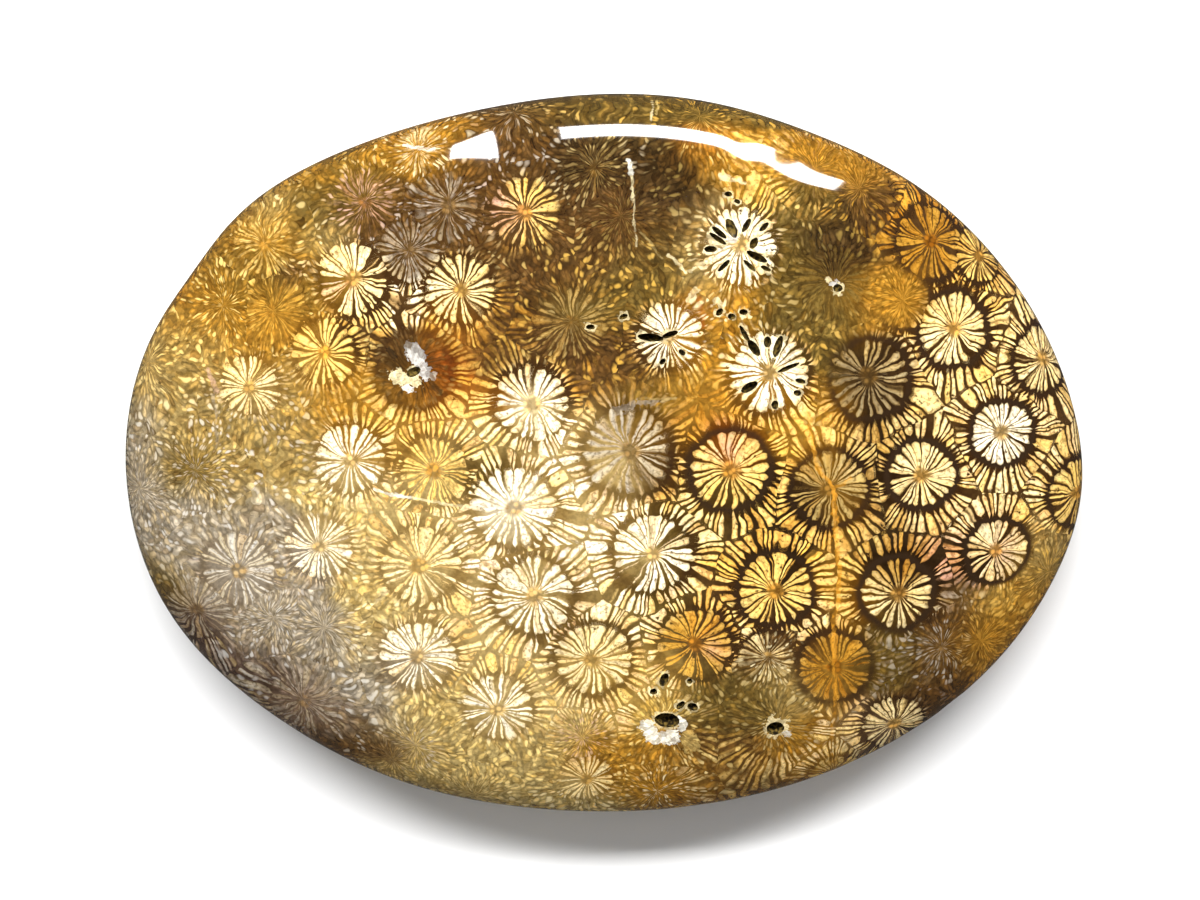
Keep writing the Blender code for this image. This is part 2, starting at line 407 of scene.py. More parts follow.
# %% [markdown]
# ## The stone itself
#
# A ball is the simplest closed shape, and every point of it has a bearing and a
# turn from the top.  The tree reads those two, and puts the point where the
# lapidary's curve says: the first part of the turn runs down the crown, the next
# down the bevel, and the rest across the flat back.  The cutters come off last,
# and leave a number on every face they made: 1 in a hole, 2 on a chip.

# %% The tree that turns a ball into the oval
CROWN_TURN = 0.62
BEVEL_TURN = 0.35
BALL_DETAIL = 7
TRIM = 0.9992
CUTTER_DETAIL = 3
HOLE, CHIP = 1.0, 2.0
CUTTER_LUMPS = 0.05 * MM
CUTTER_GRAIN = 3.0 / MM
CREASE = math.radians(32)


def tree_inputs(tree, wanted):
    """Named inputs of a tree: their sockets, and the same as wires."""
    sockets = {}
    for name, kind, value in wanted:
        socket = tree.interface.new_socket(name, in_out="INPUT", socket_type="NodeSocket" + kind)
        if value is not None:
            socket.default_value = value
        sockets[name] = socket
    entry = lay(tree, "NodeGroupInput", {})
    return sockets, {name: Wire(entry.outputs[name]) for name in sockets}


def ground_offset(bearing):
    """The rim touches as a field."""
    total = 0.0
    for centre, spread, depth in RIM_TOUCHES:
        turn = (bearing - math.radians(centre)).node("COSINE") - 1
        swell = (turn / math.radians(spread) ** 2).node("EXPONENT")
        total = swell * depth + total
    return total


def hollow_field(x, y):
    """The polishing hollows as a field."""
    total = 0.0
    for (centre_x, centre_y), (half_x, half_y), deepest in SHOULDER_HOLLOWS:
        off_x = (x - centre_x) / half_x
        off_y = (y - centre_y) / half_y
        reach = off_x * off_x + off_y * off_y
        total = (reach * -1).node("EXPONENT") * deepest + total
    return total


def shaped_place(tree, dial):
    """Where each point of the ball goes."""
    ball = wired(tree, "GeometryNodeInputPosition", {})
    x, y, z = split(ball)
    turn = z.least(1.0).most(-1.0).node("ARCCOSINE") / math.pi
    bearing = y.node("ARCTAN2", x)

    crown = (turn / CROWN_TURN).least(1.0) * (math.pi / 2)
    crown_power = 2 / dial["Crown power"]
    crown_share = crown.node("SINE").most(0.0) ** crown_power
    crown_rise = crown.node("COSINE").most(0.0) ** crown_power

    under = ((turn - CROWN_TURN) / (1 - CROWN_TURN)).most(0.0)
    bevel = (under / BEVEL_TURN).least(1.0) * (math.pi / 2)
    bevel_out = bevel.node("COSINE").most(0.0) ** (2 / BEVEL_POWER)
    bevel_drop = bevel.node("SINE").most(0.0) ** (2 / BEVEL_POWER)
    back = dial["Back share"]
    inward = ((under - BEVEL_TURN) / (1 - BEVEL_TURN)).most(0.0)
    back_share = (back + (1 - back) * bevel_out) * (1 - inward)

    share = crown_share + back_share - 1
    girdle = dial["Girdle height"]
    crown_part = (dial["Height"] - girdle) * crown_rise
    height = crown_part + girdle * (1 - bevel_drop)

    ground = ground_offset(bearing) * share.rise(RIM_REACH, 1.0)
    place_x = (dial["Half length"] * share + ground) * bearing.node("COSINE")
    place_y = (dial["Half width"] * share + ground) * bearing.node("SINE")
    hollow = hollow_field(place_x, place_y) * crown_rise.rise(0.0, HOLLOW_FADE)
    return join(tree, place_x, place_y, height - hollow)


def cutters_from(tree, points, mark):
    """A lumpy ball on every point, turned and sized by what the point carries."""
    source = lay(tree, "GeometryNodeObjectInfo", {"Object": points})
    size, turn = (wired(tree, "GeometryNodeInputNamedAttribute", {"Name": name},
                        data_type="FLOAT_VECTOR") for name in ("cutter_size", "cutter_turn"))
    balls = wired(tree, "GeometryNodeInstanceOnPoints", {
        "Points": Wire(source.outputs["Geometry"]),
        "Instance": wired(tree, "GeometryNodeMeshIcoSphere", {"Subdivisions": CUTTER_DETAIL}),
        "Rotation": wired(tree, "FunctionNodeEulerToRotation", {0: turn}),
        "Scale": size,
    })
    whole = wired(tree, "GeometryNodeRealizeInstances", {0: balls})

    lumps = lay(tree, "ShaderNodeTexNoise", {"Scale": CUTTER_GRAIN, "Detail": 1.0})
    centred = vectors("SUBTRACT", Wire(lumps.outputs["Color"]), (0.5, 0.5, 0.5))
    moved = wired(tree, "GeometryNodeSetPosition", {
        "Geometry": whole,
        "Offset": vectors("SCALE", centred, 2 * CUTTER_LUMPS),
    })
    return wired(tree, "GeometryNodeStoreNamedAttribute",
                 {"Geometry": moved, "Name": "cut", "Value": mark},
                 data_type="FLOAT", domain="FACE")


def stone_tree():
    """The whole tree: shape the ball, cut the holes and chips, give it its finish."""
    tree = bpy.data.node_groups.new("ground_and_cut_oval", "GeometryNodeTree")
    tree.interface.new_socket("Geometry", in_out="OUTPUT", socket_type="NodeSocketGeometry")
    sockets, dial = tree_inputs(tree, (
        ("Half length", "Float", HALF_LENGTH * TRIM),
        ("Half width", "Float", HALF_WIDTH * TRIM),
        ("Height", "Float", HEIGHT),
        ("Girdle height", "Float", GIRDLE_HEIGHT),
        ("Crown power", "Float", CROWN_POWER),
        ("Back share", "Float", BACK_SHARE),
        ("Hole points", "Object", None),
        ("Chip points", "Object", None),
        ("Finish", "Material", None),
    ))
    ball = wired(tree, "GeometryNodeMeshIcoSphere", {"Subdivisions": BALL_DETAIL})
    shaped = wired(tree, "GeometryNodeSetPosition",
                   {"Geometry": ball, "Position": shaped_place(tree, dial)})
    cut = lay(tree, "GeometryNodeMeshBoolean", {"Mesh 1": shaped, "Self Intersection": True},
              operation="DIFFERENCE", solver="EXACT")
    for points, mark in (("Hole points", HOLE), ("Chip points", CHIP)):
        feed(cut.inputs["Mesh 2"], cutters_from(tree, dial[points], mark))
    whole = wired(tree, "GeometryNodeRealizeInstances", {0: Wire(cut.outputs["Mesh"])})
    coated = wired(tree, "GeometryNodeSetMaterial",
                   {"Geometry": whole, "Material": dial["Finish"]})
    lay(tree, "NodeGroupOutput", {0: coated})
    return tree, sockets


def grown(name, tree, sockets, values):
    """Run a tree once and keep what it made as a plain mesh."""
    holder = bpy.data.objects.new(name, bpy.data.meshes.new(name))
    bpy.context.scene.collection.objects.link(holder)
    modifier = holder.modifiers.new("grow", "NODES")
    modifier.node_group = tree
    for label, value in values.items():
        modifier[sockets[label].identifier] = value
    evaluated = holder.evaluated_get(bpy.context.evaluated_depsgraph_get())
    mesh = bpy.data.meshes.new_from_object(evaluated)
    holder.modifiers.clear()
    holder.data = mesh
    return holder


finish = bpy.data.materials.new("polished_fossil_coral")
body_tree, body_sockets = stone_tree()
stone = grown("polished_coral", body_tree, body_sockets, {
    "Hole points": holes_here,
    "Chip points": chips_here,
    "Finish": finish,
})
for helper in (holes_here, chips_here):
    bpy.data.objects.remove(helper)
shape = stone.data
shape.shade_smooth()
shape.set_sharp_from_angle(angle=CREASE)
print("faces:", len(shape.polygons), "points:", len(shape.vertices))

# %% [markdown]
# ## Chart of the corallites
#
# No rule gives where a colony put its polyps, so each one that can be made out
# is listed on a chart of the face, fifteen squares to the millimetre.
# Each row also holds how wide the calice is, the colour that its petals took,
# how clearly they stand out from the agate, and how dark the wall round it is.

# %% Colours, and the chart of corallites
CHART_SQUARES = 15.0
CHART_MIDDLE = (604.0, 457.5)

WHITE = (255, 250, 232)
CREAM = (250, 232, 180)
STRAW = (246, 212, 126)
GOLD = (214, 166, 68)
HONEY = (174, 128, 44)
AMBER = (178, 118, 38)
RUST = (142, 66, 22)
ORANGE = (246, 168, 48)
BARK = (94, 68, 36)
UMBER = (62, 46, 24)
SOOT = (30, 25, 16)
PEAT = (44, 30, 17)
OLIVE = (112, 92, 44)
KHAKI = (172, 148, 92)
MUSTARD = (202, 170, 92)
SAND = (206, 182, 120)
DOVE = (172, 162, 146)
SILVER = (202, 198, 190)
SLATE = (138, 122, 90)
MAUVE = (124, 104, 90)
PLUM = (84, 66, 58)
ROSE = (224, 178, 160)
BLUSH = (204, 164, 140)

# across and down the chart, calice radius, petals, clearness, dark wall
CORALLITES = (
    (353, 279, 35, CREAM, 0.80, 0.05), (363, 200, 32, BLUSH, 0.36, 0.10), (264, 243, 33, STRAW, 0.40, 0.10),
    (274, 310, 32, GOLD, 0.40, 0.10), (222, 306, 30, STRAW, 0.25, 0.10), (416, 145, 28, CREAM, 0.38, 0.05),
    (446, 205, 34, DOVE, 0.38, 0.20), (524, 211, 36, STRAW, 0.52, 0.10), (460, 289, 34, CREAM, 0.80, 0.05),
    (594, 166, 34, KHAKI, 0.35, 0.10), (620, 215, 32, OLIVE, 0.20, 0.10), (571, 322, 36, KHAKI, 0.46, 0.10),
    (669, 337, 33, WHITE, 0.82, 0.10), (741, 246, 37, WHITE, 1.30, 0.00), (834, 280, 36, OLIVE, 0.45, 0.30),
    (860, 185, 34, HONEY, 0.30, 0.10), (933, 240, 36, HONEY, 0.66, 0.35), (955, 328, 37, CREAM, 0.88, 0.80),
    (324, 352, 32, STRAW, 0.85, 0.00), (250, 386, 30, CREAM, 0.80, 0.00), (351, 459, 35, WHITE, 0.82, 0.05),
    (434, 471, 34, STRAW, 0.55, 0.10), (414, 370, 36, UMBER, 0.45, 0.50), (319, 547, 33, WHITE, 0.78, 0.00),
    (532, 403, 37, WHITE, 0.92, 0.20), (629, 452, 44, DOVE, 0.60, 0.30), (514, 508, 42, WHITE, 1.00, 0.00),
    (653, 554, 40, WHITE, 0.92, 0.30), (770, 373, 39, WHITE, 1.25, 0.00), (870, 378, 40, SLATE, 0.60, 0.70),
    (730, 470, 40, STRAW, 0.85, 0.80), (830, 489, 38, KHAKI, 0.60, 0.60), (922, 475, 34, CREAM, 1.00, 1.00),
    (1003, 433, 33, WHITE, 1.00, 1.00), (1048, 358, 34, CREAM, 0.90, 0.70),
    (1078, 490, 34, STRAW, 0.80, 0.70), (997, 550, 33, CREAM, 0.84, 0.90),
    (238, 570, 38, SILVER, 0.66, 0.00), (197, 608, 34, DOVE, 0.46, 0.10), (325, 628, 32, DOVE, 0.25, 0.00),
    (305, 700, 36, DOVE, 0.44, 0.10), (415, 745, 32, DOVE, 0.30, 0.00), (420, 566, 39, CREAM, 0.92, 0.05),
    (534, 596, 40, WHITE, 0.88, 0.25), (593, 659, 38, CREAM, 0.90, 0.30), (418, 656, 38, WHITE, 0.86, 0.05),
    (497, 708, 36, WHITE, 0.78, 0.05), (585, 778, 28, CREAM, 0.62, 0.10), (696, 645, 37, GOLD, 0.72, 0.20),
    (775, 589, 38, STRAW, 0.85, 0.70), (897, 594, 38, CREAM, 0.66, 0.90), (835, 667, 38, HONEY, 0.66, 0.60),
    (777, 725, 34, KHAKI, 0.30, 0.10), (664, 728, 32, STRAW, 0.30, 0.00), (893, 722, 33, CREAM, 0.80, 0.30),
    (409, 250, 30, DOVE, 0.42, 0.10), (196, 470, 26, DOVE, 0.15, 0.00), (140, 487, 26, DOVE, 0.30, 0.00),
    (273, 617, 28, SILVER, 0.30, 0.00), (393, 757, 26, BARK, 0.20, 0.00), (473, 793, 26, KHAKI, 0.25, 0.10),
    (583, 737, 24, BLUSH, 0.30, 0.00), (767, 657, 28, CREAM, 0.40, 0.10), (943, 645, 30, DOVE, 0.36, 0.10),
    (657, 790, 26, CREAM, 0.30, 0.10), (833, 767, 28, STRAW, 0.45, 0.15), (1050, 570, 30, GOLD, 0.25, 0.10),
    (985, 250, 28, STRAW, 0.55, 0.30), (905, 300, 28, HONEY, 0.30, 0.20), (817, 165, 30, BARK, 0.30, 0.10),
    (980, 640, 30, HONEY, 0.10, 0.00),
)

# %% [markdown]
# ## Clouds in the agate
#
# Iron stained the stone in clouds: grey and lilac at the left, khaki below it,
# olive and umber at the top, honey and amber across the middle, and nearly black
# walls on pale cream at the right.  Each row is one soft patch of the chart,
# with the colour between the septa, the colour of the septa, and how clear they
# are.  The clouds run into each other, so a place takes a mixture of the patches
# that reach it.

# %% The clouds
# across, down, reach across, reach down, ground, septa, clearness
CLOUDS = (
    (215, 300, 70, 60, HONEY, STRAW, 0.22), (246, 270, 50, 34, OLIVE, STRAW, 0.28),
    (180, 370, 50, 50, KHAKI, STRAW, 0.20), (285, 272, 22, 14, BARK, BLUSH, 0.30),
    (262, 235, 40, 30, HONEY, STRAW, 0.30), (265, 200, 30, 20, KHAKI, CREAM, 0.20),
    (310, 175, 50, 20, HONEY, STRAW, 0.20), (310, 210, 40, 22, OLIVE, KHAKI, 0.15),
    (345, 185, 40, 25, OLIVE, KHAKI, 0.20), (385, 215, 50, 25, BARK, DOVE, 0.30),
    (325, 232, 25, 18, KHAKI, CREAM, 0.30), (415, 125, 50, 16, HONEY, CREAM, 0.30),
    (410, 165, 50, 16, HONEY, STRAW, 0.20), (455, 200, 40, 35, BARK, DOVE, 0.25),
    (395, 240, 30, 20, BARK, SILVER, 0.40), (400, 305, 26, 22, BARK, WHITE, 0.75),
    (520, 145, 50, 30, BARK, DOVE, 0.10), (590, 150, 50, 30, UMBER, DOVE, 0.16),
    (500, 258, 50, 24, BARK, KHAKI, 0.30), (570, 262, 40, 22, BARK, GOLD, 0.25),
    (620, 230, 60, 40, BARK, KHAKI, 0.06), (668, 178, 34, 40, UMBER, OLIVE, 0.05),
    (640, 112, 90, 18, OLIVE, GOLD, 0.10), (490, 330, 50, 30, BARK, GOLD, 0.35),
    (530, 355, 40, 20, BARK, STRAW, 0.35), (450, 330, 30, 24, AMBER, STRAW, 0.50),
    (440, 400, 46, 34, AMBER, STRAW, 0.62), (450, 372, 24, 30, RUST, GOLD, 0.35),
    (390, 375, 18, 30, BARK, CREAM, 0.50), (385, 335, 30, 20, BARK, STRAW, 0.45),
    (750, 165, 50, 24, HONEY, STRAW, 0.40), (705, 145, 26, 18, AMBER, STRAW, 0.35),
    (800, 200, 40, 24, OLIVE, STRAW, 0.50), (830, 150, 40, 16, HONEY, CREAM, 0.35),
    (705, 262, 26, 44, KHAKI, CREAM, 0.20), (655, 270, 30, 40, OLIVE, GOLD, 0.14),
    (785, 260, 26, 40, OLIVE, KHAKI, 0.10), (838, 245, 36, 40, UMBER, OLIVE, 0.12),
    (815, 310, 40, 26, OLIVE, KHAKI, 0.08), (880, 300, 40, 30, HONEY, GOLD, 0.40),
    (895, 205, 50, 36, BARK, GOLD, 0.50), (980, 270, 40, 50, BARK, STRAW, 0.78),
    (880, 150, 50, 24, HONEY, STRAW, 0.35), (610, 290, 40, 30, OLIVE, GOLD, 0.30),
    (620, 350, 34, 30, BARK, GOLD, 0.30), (705, 345, 24, 34, HONEY, CREAM, 0.25),
    (690, 395, 60, 22, HONEY, GOLD, 0.45), (735, 305, 26, 26, HONEY, CREAM, 0.30),
    (700, 310, 16, 16, AMBER, CREAM, 0.30), (820, 350, 24, 36, OLIVE, GOLD, 0.20),
    (815, 425, 30, 34, HONEY, STRAW, 0.50), (790, 425, 24, 24, HONEY, STRAW, 0.60),
    (930, 380, 50, 40, BARK, CREAM, 0.85), (1030, 300, 40, 50, BARK, CREAM, 0.80),
    (890, 440, 30, 40, UMBER, SAND, 0.88), (960, 500, 50, 50, BARK, CREAM, 0.95),
    (880, 545, 40, 30, UMBER, SAND, 0.64), (955, 560, 44, 34, UMBER, ROSE, 0.58),
    (870, 372, 34, 34, UMBER, SLATE, 0.62), (1060, 430, 40, 90, BARK, CREAM, 0.90),
    (580, 375, 34, 26, BARK, GOLD, 0.35), (650, 398, 30, 22, OLIVE, DOVE, 0.30),
    (680, 460, 30, 34, BARK, GOLD, 0.70), (575, 440, 40, 34, SAND, WHITE, 0.85),
    (560, 490, 50, 40, SAND, WHITE, 0.98), (450, 440, 60, 30, SAND, CREAM, 0.80),
    (480, 462, 30, 26, OLIVE, CREAM, 0.85), (580, 545, 60, 40, SAND, WHITE, 0.95),
    (600, 600, 50, 36, KHAKI, WHITE, 0.88), (700, 510, 40, 40, OLIVE, CREAM, 0.88),
    (715, 570, 30, 50, BARK, STRAW, 0.85), (790, 530, 50, 40, UMBER, STRAW, 0.80),
    (840, 560, 24, 56, HONEY, STRAW, 0.76), (700, 430, 40, 30, HONEY, GOLD, 0.55),
    (730, 446, 22, 20, RUST, BLUSH, 0.80), (514, 508, 24, 24, WHITE, WHITE, 0.98),
    (532, 403, 16, 16, CREAM, WHITE, 0.92), (350, 400, 60, 30, HONEY, STRAW, 0.40),
    (395, 430, 40, 26, HONEY, STRAW, 0.55), (390, 500, 50, 22, SAND, CREAM, 0.60),
    (330, 505, 40, 30, SAND, CREAM, 0.25), (290, 420, 30, 40, KHAKI, DOVE, 0.20),
    (220, 440, 60, 50, KHAKI, SILVER, 0.22), (150, 480, 24, 70, DOVE, SILVER, 0.25),
    (184, 472, 26, 22, OLIVE, GOLD, 0.10), (170, 540, 50, 40, DOVE, SILVER, 0.30),
    (250, 520, 50, 24, DOVE, SILVER, 0.25), (250, 590, 60, 50, DOVE, SILVER, 0.40),
    (300, 640, 60, 40, DOVE, SILVER, 0.25), (190, 620, 40, 30, PLUM, SILVER, 0.44),
    (165, 585, 24, 24, OLIVE, KHAKI, 0.20), (250, 665, 50, 26, PLUM, SILVER, 0.42),
    (310, 715, 50, 24, MAUVE, SILVER, 0.40), (360, 745, 40, 20, BARK, DOVE, 0.25),
    (400, 785, 60, 20, KHAKI, CREAM, 0.20), (370, 690, 40, 50, DOVE, SILVER, 0.25),
    (370, 620, 30, 50, SAND, CREAM, 0.20), (375, 560, 22, 50, SAND, CREAM, 0.40),
    (470, 640, 30, 44, SAND, CREAM, 0.72), (480, 575, 24, 40, SAND, WHITE, 0.85),
    (470, 760, 80, 50, SAND, STRAW, 0.06), (440, 700, 40, 26, SAND, STRAW, 0.20),
    (550, 720, 40, 34, SAND, CREAM, 0.50), (540, 795, 60, 20, SAND, CREAM, 0.08),
    (640, 690, 40, 30, MUSTARD, CREAM, 0.65), (645, 600, 50, 30, OLIVE, CREAM, 0.80),
    (620, 765, 50, 30, HONEY, STRAW, 0.30), (680, 775, 50, 24, HONEY, CREAM, 0.40),
    (740, 700, 40, 36, OLIVE, KHAKI, 0.30), (740, 640, 26, 30, BARK, CREAM, 0.70),
    (730, 760, 50, 30, BARK, STRAW, 0.40), (810, 750, 50, 30, HONEY, CREAM, 0.50),
    (790, 690, 30, 30, KHAKI, CREAM, 0.30), (800, 640, 30, 30, BARK, CREAM, 0.55),
    (832, 668, 22, 26, HONEY, GOLD, 0.60), (414, 374, 20, 20, UMBER, AMBER, 0.50),
    (885, 660, 40, 30, OLIVE, DOVE, 0.35), (950, 610, 36, 24, BARK, DOVE, 0.45),
    (945, 660, 30, 30, BARK, SILVER, 0.35), (925, 705, 40, 24, BARK, MAUVE, 0.15),
    (1000, 640, 50, 50, HONEY, GOLD, 0.04), (1030, 605, 30, 50, HONEY, GOLD, 0.06),
    (1045, 560, 26, 40, KHAKI, STRAW, 0.30), (990, 600, 26, 20, MUSTARD, STRAW, 0.20),
    (870, 735, 30, 30, MAUVE, CREAM, 0.55),
)

# across, down, reach, petal colour, share
BLUSHES = (
    (500, 200, 18, ROSE, 0.95), (505, 222, 16, ROSE, 0.70), (336, 292, 12, BLUSH, 0.60),
    (726, 446, 20, ROSE, 0.75), (897, 572, 26, HONEY, 0.85), (716, 650, 14, ROSE, 0.70),
    (852, 650, 20, GOLD, 0.50), (690, 470, 14, WHITE, 0.50), (345, 205, 12, ROSE, 0.60),
    (955, 585, 12, MAUVE, 0.60), (566, 628, 12, BLUSH, 0.50), (615, 405, 16, SILVER, 0.60),
    (892, 374, 13, CREAM, 0.65), (868, 348, 10, STRAW, 0.50), (852, 470, 12, CREAM, 0.50),
    (650, 452, 16, WHITE, 0.55), (610, 470, 18, CREAM, 0.60), (450, 545, 16, WHITE, 0.40),
    (999, 550, 24, ROSE, 0.45), (955, 310, 14, GOLD, 0.35),
)
print(len(CORALLITES), "corallites charted,", len(CLOUDS), "clouds")

# %% [markdown]
# ## Writing the chart on the stone
#
# A coral's tubes fan out a little as they rise through the stone.  A place on the
# crown lies in the tube that opens there.  A place under the rim or on the back is
# followed up its tube to the height of the crown first, and that tells which tube
# it is in.  Where the chart is empty, the gaps are filled at the colony's spacing.
#
# Every face stores its two nearest tubes, as an offset in calice radii from each
# of them.  The finish picks the nearer one at every point, so the border between
# two corallites comes out sharper than the mesh is.

# %% From the chart to the stone
def chart_place(across, down):
    """Place in plan of a square of the chart."""
    right = (np.asarray(across, float) - CHART_MIDDLE[0]) / CHART_SQUARES
    above = (CHART_MIDDLE[1] - np.asarray(down, float)) / CHART_SQUARES
    return np.stack(on_face(right, above), axis=-1)


def columns(rows):
    """The columns of a chart, as arrays."""
    return [np.array(column, float) for column in zip(*rows)]


def up_the_tube(places):
    """Where the tube through each place opens on the crown, in plan."""
    x, y, z = places.T
    bearing = np.arctan2(y / HALF_WIDTH, x / HALF_LENGTH)
    below = np.maximum(crown_height(x, y) - z, 0.0) * TUBE_LEAN
    return np.column_stack((x + below * np.cos(bearing), y + below * np.sin(bearing)))


def read(items, field, width=1, kind=float):
    """One field of all the points, faces or corners, in rows of this width."""
    values = np.zeros(len(items) * width, kind)
    items.foreach_get(field, values)
    return values.reshape(-1, width) if width > 1 else values


TUBE_LEAN = 0.6
points = read(shape.vertices, "co", 3)
corners = read(shape.loops, "vertex_index", kind=int)
face_sizes = read(shape.polygons, "loop_total", kind=int)
plan = up_the_tube(points)
centres = up_the_tube(read(shape.polygons, "center", 3))
print("a place on the back moves outwards by up to",
      round(float(np.abs(plan - points[:, :2]).max()) / MM, 1), "mm")

# %% Tubes, charted and filled in
TUBE_SPACING = 5.0 * MM
FILL_SPACING = 6.6 * MM
FILL_ROWS = range(-6, 7)
FILL_COLUMNS = range(-7, 8)
ROW_HEIGHT = 0.87
JITTER = 0.12
FILL_REACH = 1.3
COMMON_RADIUS = 2.3 * MM
rng = np.random.RandomState(7)


def tubes_in_gaps(known):
    """Tubes where the chart is empty, on a jittered triangular grid."""
    added = []
    for row in FILL_ROWS:
        for column in FILL_COLUMNS:
            place = np.array((column + 0.5 * (row % 2), row * ROW_HEIGHT)) * FILL_SPACING
            place = place + rng.uniform(-JITTER, JITTER, 2) * FILL_SPACING
            gaps = np.hypot(*(known - place).T)
            share = np.hypot(place[0] / HALF_LENGTH, place[1] / HALF_WIDTH)
            if share < FILL_REACH and gaps.min() > TUBE_SPACING:
                added.append(place)
    return np.array(added)


across, down, widths, petal_colours, petal_clear, wall_dark = columns(CORALLITES)
charted = chart_place(across, down)
charted_radii = widths / CHART_SQUARES * MM
extra = tubes_in_gaps(charted)
tubes = np.concatenate((charted, extra))
radii = np.concatenate((charted_radii, np.full(len(extra), COMMON_RADIUS)))
seeds = rng.uniform(0.02, 0.98, len(tubes))
print(len(extra), "tubes added in the gaps")

# %% Nearest tubes
FIELDS = {"FLOAT": "value", "FLOAT_VECTOR": "vector", "FLOAT_COLOR": "color"}


def store(name, kind, domain, values):
    """Write a value for each point or face corner of the stone."""
    layer = shape.attributes.new(name, kind, domain)
    layer.data.foreach_set(FIELDS[kind], values.ravel())


def reach_to(places, middles, lengths):
    """How far each place lies from each middle, in lengths."""
    return np.hypot(places[:, None, 0] - middles[None, :, 0],
                    places[:, None, 1] - middles[None, :, 1]) / lengths


nearest = np.argsort(reach_to(centres, tubes, radii), axis=1)[:, :2]
for order, name in enumerate(("near_tube", "next_tube")):
    tube = np.repeat(nearest[:, order], face_sizes)
    offset = (plan[corners] - tubes[tube]) / radii[tube, None]
    store(name, "FLOAT_VECTOR", "CORNER", np.column_stack((offset, seeds[tube])))
print("every face knows its two nearest of", len(tubes), "tubes")

# %% [markdown]
# The clouds are too soft to need more than one value for each point of the mesh.
# A slow noise pushes the chart about first, because real clouds have ragged
# edges.  It starts from a fixed seed, so the clouds are the same every time.
# Inside a calice the petals' own colour and clearness take over from the
# cloud's, and a few blushes tint them last.

# %% Clouds of ground and septa
CLOUD_SEED = 7
CLOUD_DRIFT = 0.9 * MM
CLOUD_GRAIN = 3.0 * MM
FINER = 2.7
CLOUD_EDGE = 1.3
TINY = 1e-9


def drifted(places):
    """Places moved about by a slow noise."""
    pushes = []
    for place in places:
        push = noise.noise_vector(Vector(place) / CLOUD_GRAIN)
        push += noise.noise_vector(Vector(place) * FINER / CLOUD_GRAIN) * 0.5
        pushes.append(push.xy * CLOUD_DRIFT)
    return up_the_tube(places) + np.array(pushes)


def mixed(first, second, amount):
    """First where amount is 0, second where it is 1."""
    return first * (1 - amount) + second * amount


across, down, reach_across, reach_down, grounds, cloud_septa, cloud_clear = columns(CLOUDS)
cloud_reach = np.column_stack((reach_across, reach_down)) / CHART_SQUARES * MM
noise.seed_set(CLOUD_SEED)
loose = drifted(points)
off = (loose[:, None, :] - chart_place(across, down)[None]) / cloud_reach[None]
weight = np.exp(-CLOUD_EDGE * (off ** 2).sum(axis=2)) + TINY
weight /= weight.sum(axis=1, keepdims=True)
ground = weight @ grounds
septa = weight @ cloud_septa
clear = weight @ cloud_clear
print("clouds cover", len(points), "points of the mesh")

# %% Petals, blushes and walls
CALICE_EDGE, CALICE_STEEPNESS = 1.08, 8
WALL_EDGE, WALL_STEEPNESS = 1.7, 6


def pigment(colours):
    """Given colours, turned into amounts of light by the sRGB curve."""
    share = np.asarray(colours, float) / 255
    return np.where(share < 0.04045, share / 12.92, ((share + 0.055) / 1.055) ** 2.4)


def with_strength(colours, strengths):
    """Colours with a fourth number each."""
    return np.column_stack((pigment(colours), strengths))


calice_reach = reach_to(plan, charted, charted_radii)
inside = np.exp(-(calice_reach / CALICE_EDGE) ** CALICE_STEEPNESS)
share = np.minimum(inside.sum(axis=1), 1.0)
inside /= inside.sum(axis=1, keepdims=True) + TINY
septa = mixed(septa, inside @ petal_colours, share[:, None])
clear = mixed(clear, inside @ petal_clear, share)
for across, down, spread, colour, amount in BLUSHES:
    near = np.hypot(*(loose - chart_place(across, down)).T) * CHART_SQUARES / MM / spread
    septa = mixed(septa, np.array(colour), (np.exp(-near ** 2) * amount)[:, None])
walls = np.exp(-(calice_reach / WALL_EDGE) ** WALL_STEEPNESS) * wall_dark

opaque = np.ones(len(points))
store("ground_colour", "FLOAT_COLOR", "POINT", with_strength(ground, opaque))
store("septa_colour", "FLOAT_COLOR", "POINT", with_strength(septa, opaque))
store("clearness", "FLOAT", "POINT", clear)
store("wall_darkness", "FLOAT", "POINT", walls.max(axis=1))
print("clearness runs from", round(float(clear.min()), 2), "to", round(float(clear.max()), 2))
